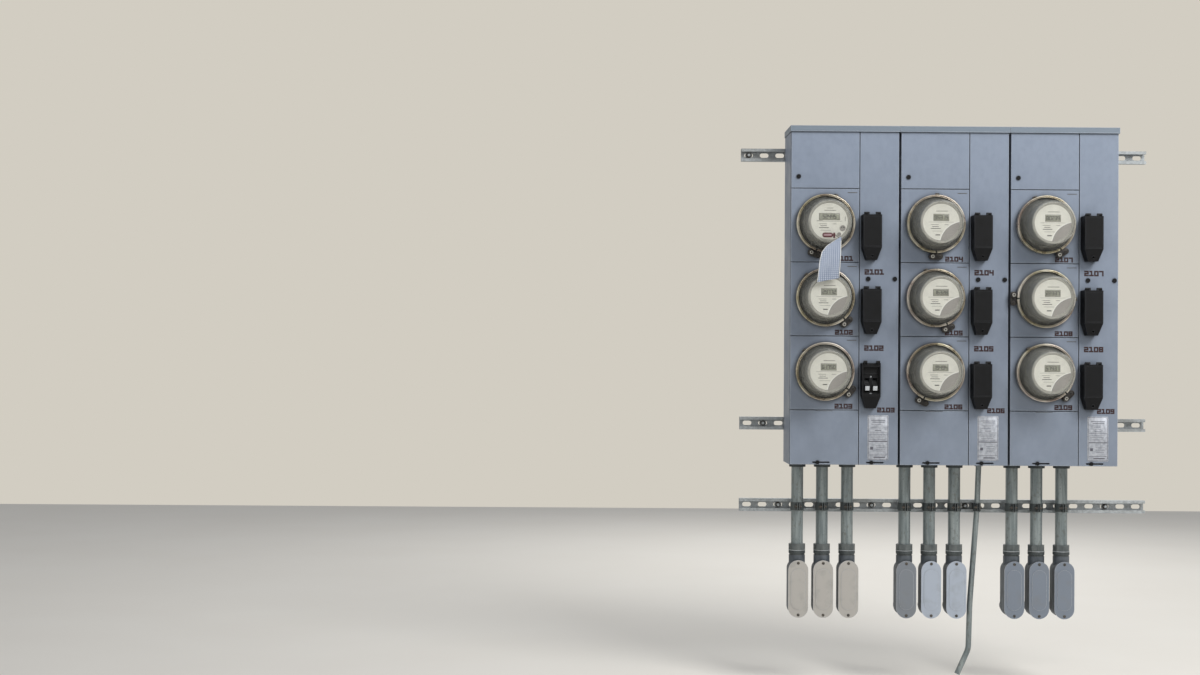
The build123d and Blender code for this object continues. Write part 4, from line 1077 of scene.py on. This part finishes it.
def knurled(profile, teeth, depth):
    """A turned ring whose outside is cut with fine teeth."""
    ring = turned(profile, 2 * teeth)
    outside = max(radius for radius, _ in profile) - 0.2 * mm
    for vert in ring.verts:
        radius = math.hypot(vert.co.x, vert.co.z)
        tooth = round(math.atan2(vert.co.x, vert.co.z) / math.pi * teeth)
        if radius > outside and tooth % 2:
            vert.co.x *= 1 - depth / radius
            vert.co.z *= 1 - depth / radius
    return ring


# Below each connector's nut: a bright sealing ring, and a knurled gland ring under it
sealing_ring = turned(cut_ring(23.6 * mm, 27.4 * mm, -2.6 * mm, 0, 0.8 * mm), 64)
gland_ring = knurled(cut_ring(23.6 * mm, 26.6 * mm, -13 * mm, -3.2 * mm, 1.2 * mm), 40, 0.7 * mm)
collars = []
for x in conduit_places:
    seat = at(x, conduit_axis, nut_foot) @ swung(-90, "X")
    collars += [(sealing_ring, seat, 0), (gland_ring, seat, 1)]
assemble("connector_rings", collars, [zinc, dark_casting])

# A bolt with a hexagonal head and nut through the ears of each strap
bolt_parts = [stud(2.8 * mm, 11 * mm, foot=-13 * mm, steps=20),
              plate(disc(5.6 * mm, 6), 4.1 * mm, 8.4 * mm, 0.5 * mm),
              plate(disc(5.6 * mm, 6, turn=0.4), -8.8 * mm, -4.1 * mm, 0.5 * mm)]
bolts = []
for x, ear in [(x, conduit_ear) for x in conduit_places] + [(thin_conduit_at_rail, thin_conduit_ear)]:
    seat = at(x, conduit_axis + ear, (strap_low.z + strap_high.z) / 2) @ swung(90, "Z")
    bolts += [(part, seat, 0) for part in bolt_parts]
assemble("strap_bolts", bolts, [dark_steel])


# Notice: a slip of paper, ruled in pale blue, that a seal clip and a wire hold to the
# top left meter. It has curled forward in the weather.

tag_low, tag_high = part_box("notice_tag")
tag_meter = meter_centres[wide_site].x
slip_top, slip_bottom, slip_back = tag_high.z - 13.5 * mm, tag_low.z, -tag_high.y
slip_middle = tag_meter - 6.8 * mm
# How far the slip bows forward, how high its ripples are, its clearance behind and its thickness
slip_bow, slip_ripple, slip_gap, slip_thickness = 8.5 * mm, 1.6 * mm, 1.8 * mm, 0.4 * mm
corner_lift = 13 * mm
hem_width, hem_proud = 1.6 * mm, 0.5 * mm
rule_pitch = 6.2 * mm
# The slip's edges, in millimetres: share of the way down, and place from its middle
left_edge = [(0.0, 37.5), (0.115, 11.6), (0.195, -5.4), (0.34, -21.0), (0.55, -27.8), (1.0, -33.3)]
right_edge = [(0.0, 40.6), (1.0, 34.5)]
clip_x, clip_z = tag_meter - 8 * mm, tag_high.z - 7.5 * mm
# The wire's bends, in millimetres from the clip's middle
wire_bends = ((15, 0), (22, 2), (27, -3), (36, -8), (38, -13))


def edge_at(edge, t):
    """An edge's place across, at a share t of the way down."""
    for (t0, x0), (t1, x1) in zip(edge, edge[1:]):
        if t <= t1:
            return (x0 + (x1 - x0) * (t - t0) / (t1 - t0)) * mm
    return edge[-1][1] * mm


def slip_point(t, x, lift):
    """A place on the slip at a share t of the way down: across, how far forward and how high."""
    bow = slip_bow * math.sin(math.pi * t)
    return slip_middle + x, slip_back + slip_gap + bow, slip_top + (slip_bottom - slip_top) * t + lift * t * t


def slip_skin(mesh, thickness, down_steps=28, across_steps=16):
    """The points of one side of the slip, row by row from the top."""
    grid = []
    for t in [j / down_steps for j in range(down_steps + 1)]:
        low, high = edge_at(left_edge, t), edge_at(right_edge, t)
        line = []
        for s in [i / across_steps for i in range(across_steps + 1)]:
            x, depth, z = slip_point(t, low + (high - low) * s, corner_lift * s)
            ripple = slip_ripple * math.sin(2.5 * math.pi * s + 3 * t) * t
            line.append(mesh.verts.new((x, -depth - ripple - thickness, z)))
        grid.append(line)
    return grid


def around(grid):
    """The rim of a grid of points, in order."""
    return ([row[0] for row in grid] + grid[-1][1:] + [row[-1] for row in reversed(grid[:-1])]
            + list(reversed(grid[0][1:-1])))


def slip():
    mesh = bmesh.new()
    skins = [slip_skin(mesh, thickness) for thickness in (0.0, slip_thickness)]
    for grid in skins:
        for upper, lower in zip(grid, grid[1:]):
            for i in range(len(upper) - 1):
                mesh.faces.new((upper[i], upper[i + 1], lower[i + 1], lower[i]))
    inner, outer = around(skins[0]), around(skins[1])
    for k in range(len(inner)):
        mesh.faces.new((inner[k - 1], inner[k], outer[k], outer[k - 1]))
    bmesh.ops.recalc_face_normals(mesh, faces=mesh.faces)
    return mesh


def slip_hems():
    """White hems down both sides, following the slip's bow."""
    hems = []
    steps = [k / 24 for k in range(2, 24)]
    for edge, lift, inward in ((left_edge, 0.0, hem_width), (right_edge, corner_lift, -hem_width)):
        for t0, t1 in zip(steps, steps[1:]):
            (x0, _, z0), (x1, _, z1) = [slip_point(t, edge_at(edge, t), lift) for t in (t0, t1)]
            face = slip_point((t0 + t1) / 2, 0, 0)[1] + hem_proud
            strip = [(x0, z0), (x1, z1), (x1 + inward, z1), (x0 + inward, z0)]
            hems.append(plate(strip, face, face + 1.0 * mm))
    return hems


def ruled_paper_finish():
    paper = Finish("ruled_paper")
    lines = []
    for axis in ("X", "Z"):
        cells = paper.times(paper.along(axis), 1 / rule_pitch)
        lines.append(paper.share(paper.add("Math", {0: cells}, operation="FRACT"), 0.30, 0.40, 1.0, 0.0))
    crumple = paper.cloud(20 * mm, 4.0)
    paper.ground(crumple, (168, 178, 192), (206, 213, 222))
    paper.coat(paper.times(paper.plus(*lines), 0.8), (82, 96, 128))
    paper.gloss(crumple, 0.65, 0.85)
    paper.relief(crumple, 1.2 * mm, 0.6)
    return paper.material


def seal_finish(name, dark, light):
    return mottled_finish(name, dark, light, 4 * mm, (0.25, 0.5), 0.1 * mm, 0.3, detail=3.0)


def oval(length, height, x, z):
    """The outline of a flat bar with round ends."""
    radius, reach = height / 2, (length - height) / 2
    return arc(x + reach, z, radius, 90, -90, -15) + arc(x - reach, z, radius, 270, 90, -15)


seal = oval(34 * mm, 15 * mm, clip_x, clip_z)
seal_face = oval(25 * mm, 6 * mm, clip_x - 1 * mm, clip_z)
seal_tail = block(6 * mm, 17 * mm, clip_x + 20 * mm, clip_z - 1 * mm)
wire = [(clip_x + x * mm, clip_z + z * mm) for x, z in wire_bends]
notice_parts = in_place([slip()])
notice_parts += in_place([plate(seal, slip_back, slip_back + 2.6 * mm, 0.9 * mm),
                          plate(seal_tail, slip_back, slip_back + 2.2 * mm, 0.6 * mm)], 1)
notice_parts += in_place([plate(seal_face, slip_back + 2.4 * mm, slip_back + 3.0 * mm, 0.3 * mm)], 2)
notice_parts += in_place([ribbon(wire, 1.6 * mm, slip_back, slip_back + 1.6 * mm)], 3)
notice_parts += in_place(slip_hems(), 4)
notice_finishes = [ruled_paper_finish(), seal_finish("dark_red_seal", (62, 26, 31), (92, 46, 51)),
                   seal_finish("pink_seal_face", (138, 108, 112), (160, 134, 137)), dark_steel, pale_line]
notice = assemble("paper_notice", notice_parts, notice_finishes)
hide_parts("notice_tag")


# Studio: a pale floor under the bank, one broad lamp above and to the right, a weak one to the
# left, one behind, and an even pale surround.

floor_drop, floor_reach = 0.03, 6.0
lamp_size, lamps_aim = 2.4, Vector((0, 0, 0.2))

floor_mesh = bpy.data.meshes.new("studio_floor")
floor_shape = bmesh.new()
bmesh.ops.create_grid(floor_shape, x_segments=8, y_segments=8, size=floor_reach)
floor_shape.to_mesh(floor_mesh)
floor = bpy.data.objects.new("studio_floor", floor_mesh)
floor.location = (0, 0, cad_box[0].z - floor_drop)
bpy.context.scene.collection.objects.link(floor)
pale_floor = Finish("pale_floor")
pale_floor.ground(pale_floor.cloud(0.6, 3.0), (224, 219, 209), (230, 226, 217))
pale_floor.shader.inputs["Roughness"].default_value = 0.85
floor_mesh.materials.append(pale_floor.material)

world = bpy.data.worlds.new("surround")
bpy.context.scene.world = world
world.use_nodes = True
sky = world.node_tree


def larger(first, second):
    """The larger of two values in the surround's nodes."""
    made = sky.nodes.new("ShaderNodeMath")
    made.operation = "MAXIMUM"
    sky.links.new(first, made.inputs[0])
    sky.links.new(second, made.inputs[1])
    return made.outputs[0]


# The camera, mirror-like faces and clear ones look at one surround, and another lights the rest
even = sky.nodes["Background"]
even.inputs["Color"].default_value = seen(214, 218, 226)
even.inputs["Strength"].default_value = 0.55
shown = sky.nodes.new("ShaderNodeBackground")
shown.inputs["Color"].default_value = seen(210, 205, 194)
rays = sky.nodes.new("ShaderNodeLightPath").outputs
looked_at = larger(rays["Is Camera Ray"], larger(rays["Is Glossy Ray"], rays["Is Transmission Ray"]))
chosen = sky.nodes.new("ShaderNodeMixShader")
for socket, value in enumerate((looked_at, even.outputs[0], shown.outputs[0])):
    sky.links.new(value, chosen.inputs[socket])
sky.links.new(chosen.outputs[0], sky.nodes["World Output"].inputs["Surface"])

for name, place, power in (("key_lamp", (2.2, -3.4, 3.6), 214), ("fill_lamp", (-2.2, -4.4, 1.2), 20),
                           ("rear_lamp", (0.5, 4.0, 2.6), 90)):
    light = bpy.data.lights.new(name, "AREA")
    light.size = lamp_size
    light.energy = power
    lamp = bpy.data.objects.new(name, light)
    lamp.location = place
    lamp.rotation_euler = (lamps_aim - Vector(place)).to_track_quat("-Z", "Y").to_euler()
    bpy.context.scene.collection.objects.link(lamp)


# Camera: left of the cabinets and level with their lower third, turned and tilted slightly.

photo_width, focal_length = 1200, 1660  # in pixels
sensor_width = 36
camera_place = (-1.145, -5.418, 0.224)
turn_right, tilt_up, roll = 0.30, 0.54, 0.39

camera_data = bpy.data.cameras.new("camera")
camera_data.sensor_width = sensor_width
camera_data.lens = focal_length / photo_width * sensor_width
camera = bpy.data.objects.new("camera", camera_data)
camera.matrix_world = (Matrix.Translation(camera_place) @ swung(-turn_right, "Z") @ swung(90 + tilt_up, "X")
                       @ swung(roll, "Z"))
bpy.context.scene.collection.objects.link(camera)
bpy.context.scene.camera = camera
bpy.context.scene.view_settings.view_transform = "Standard"
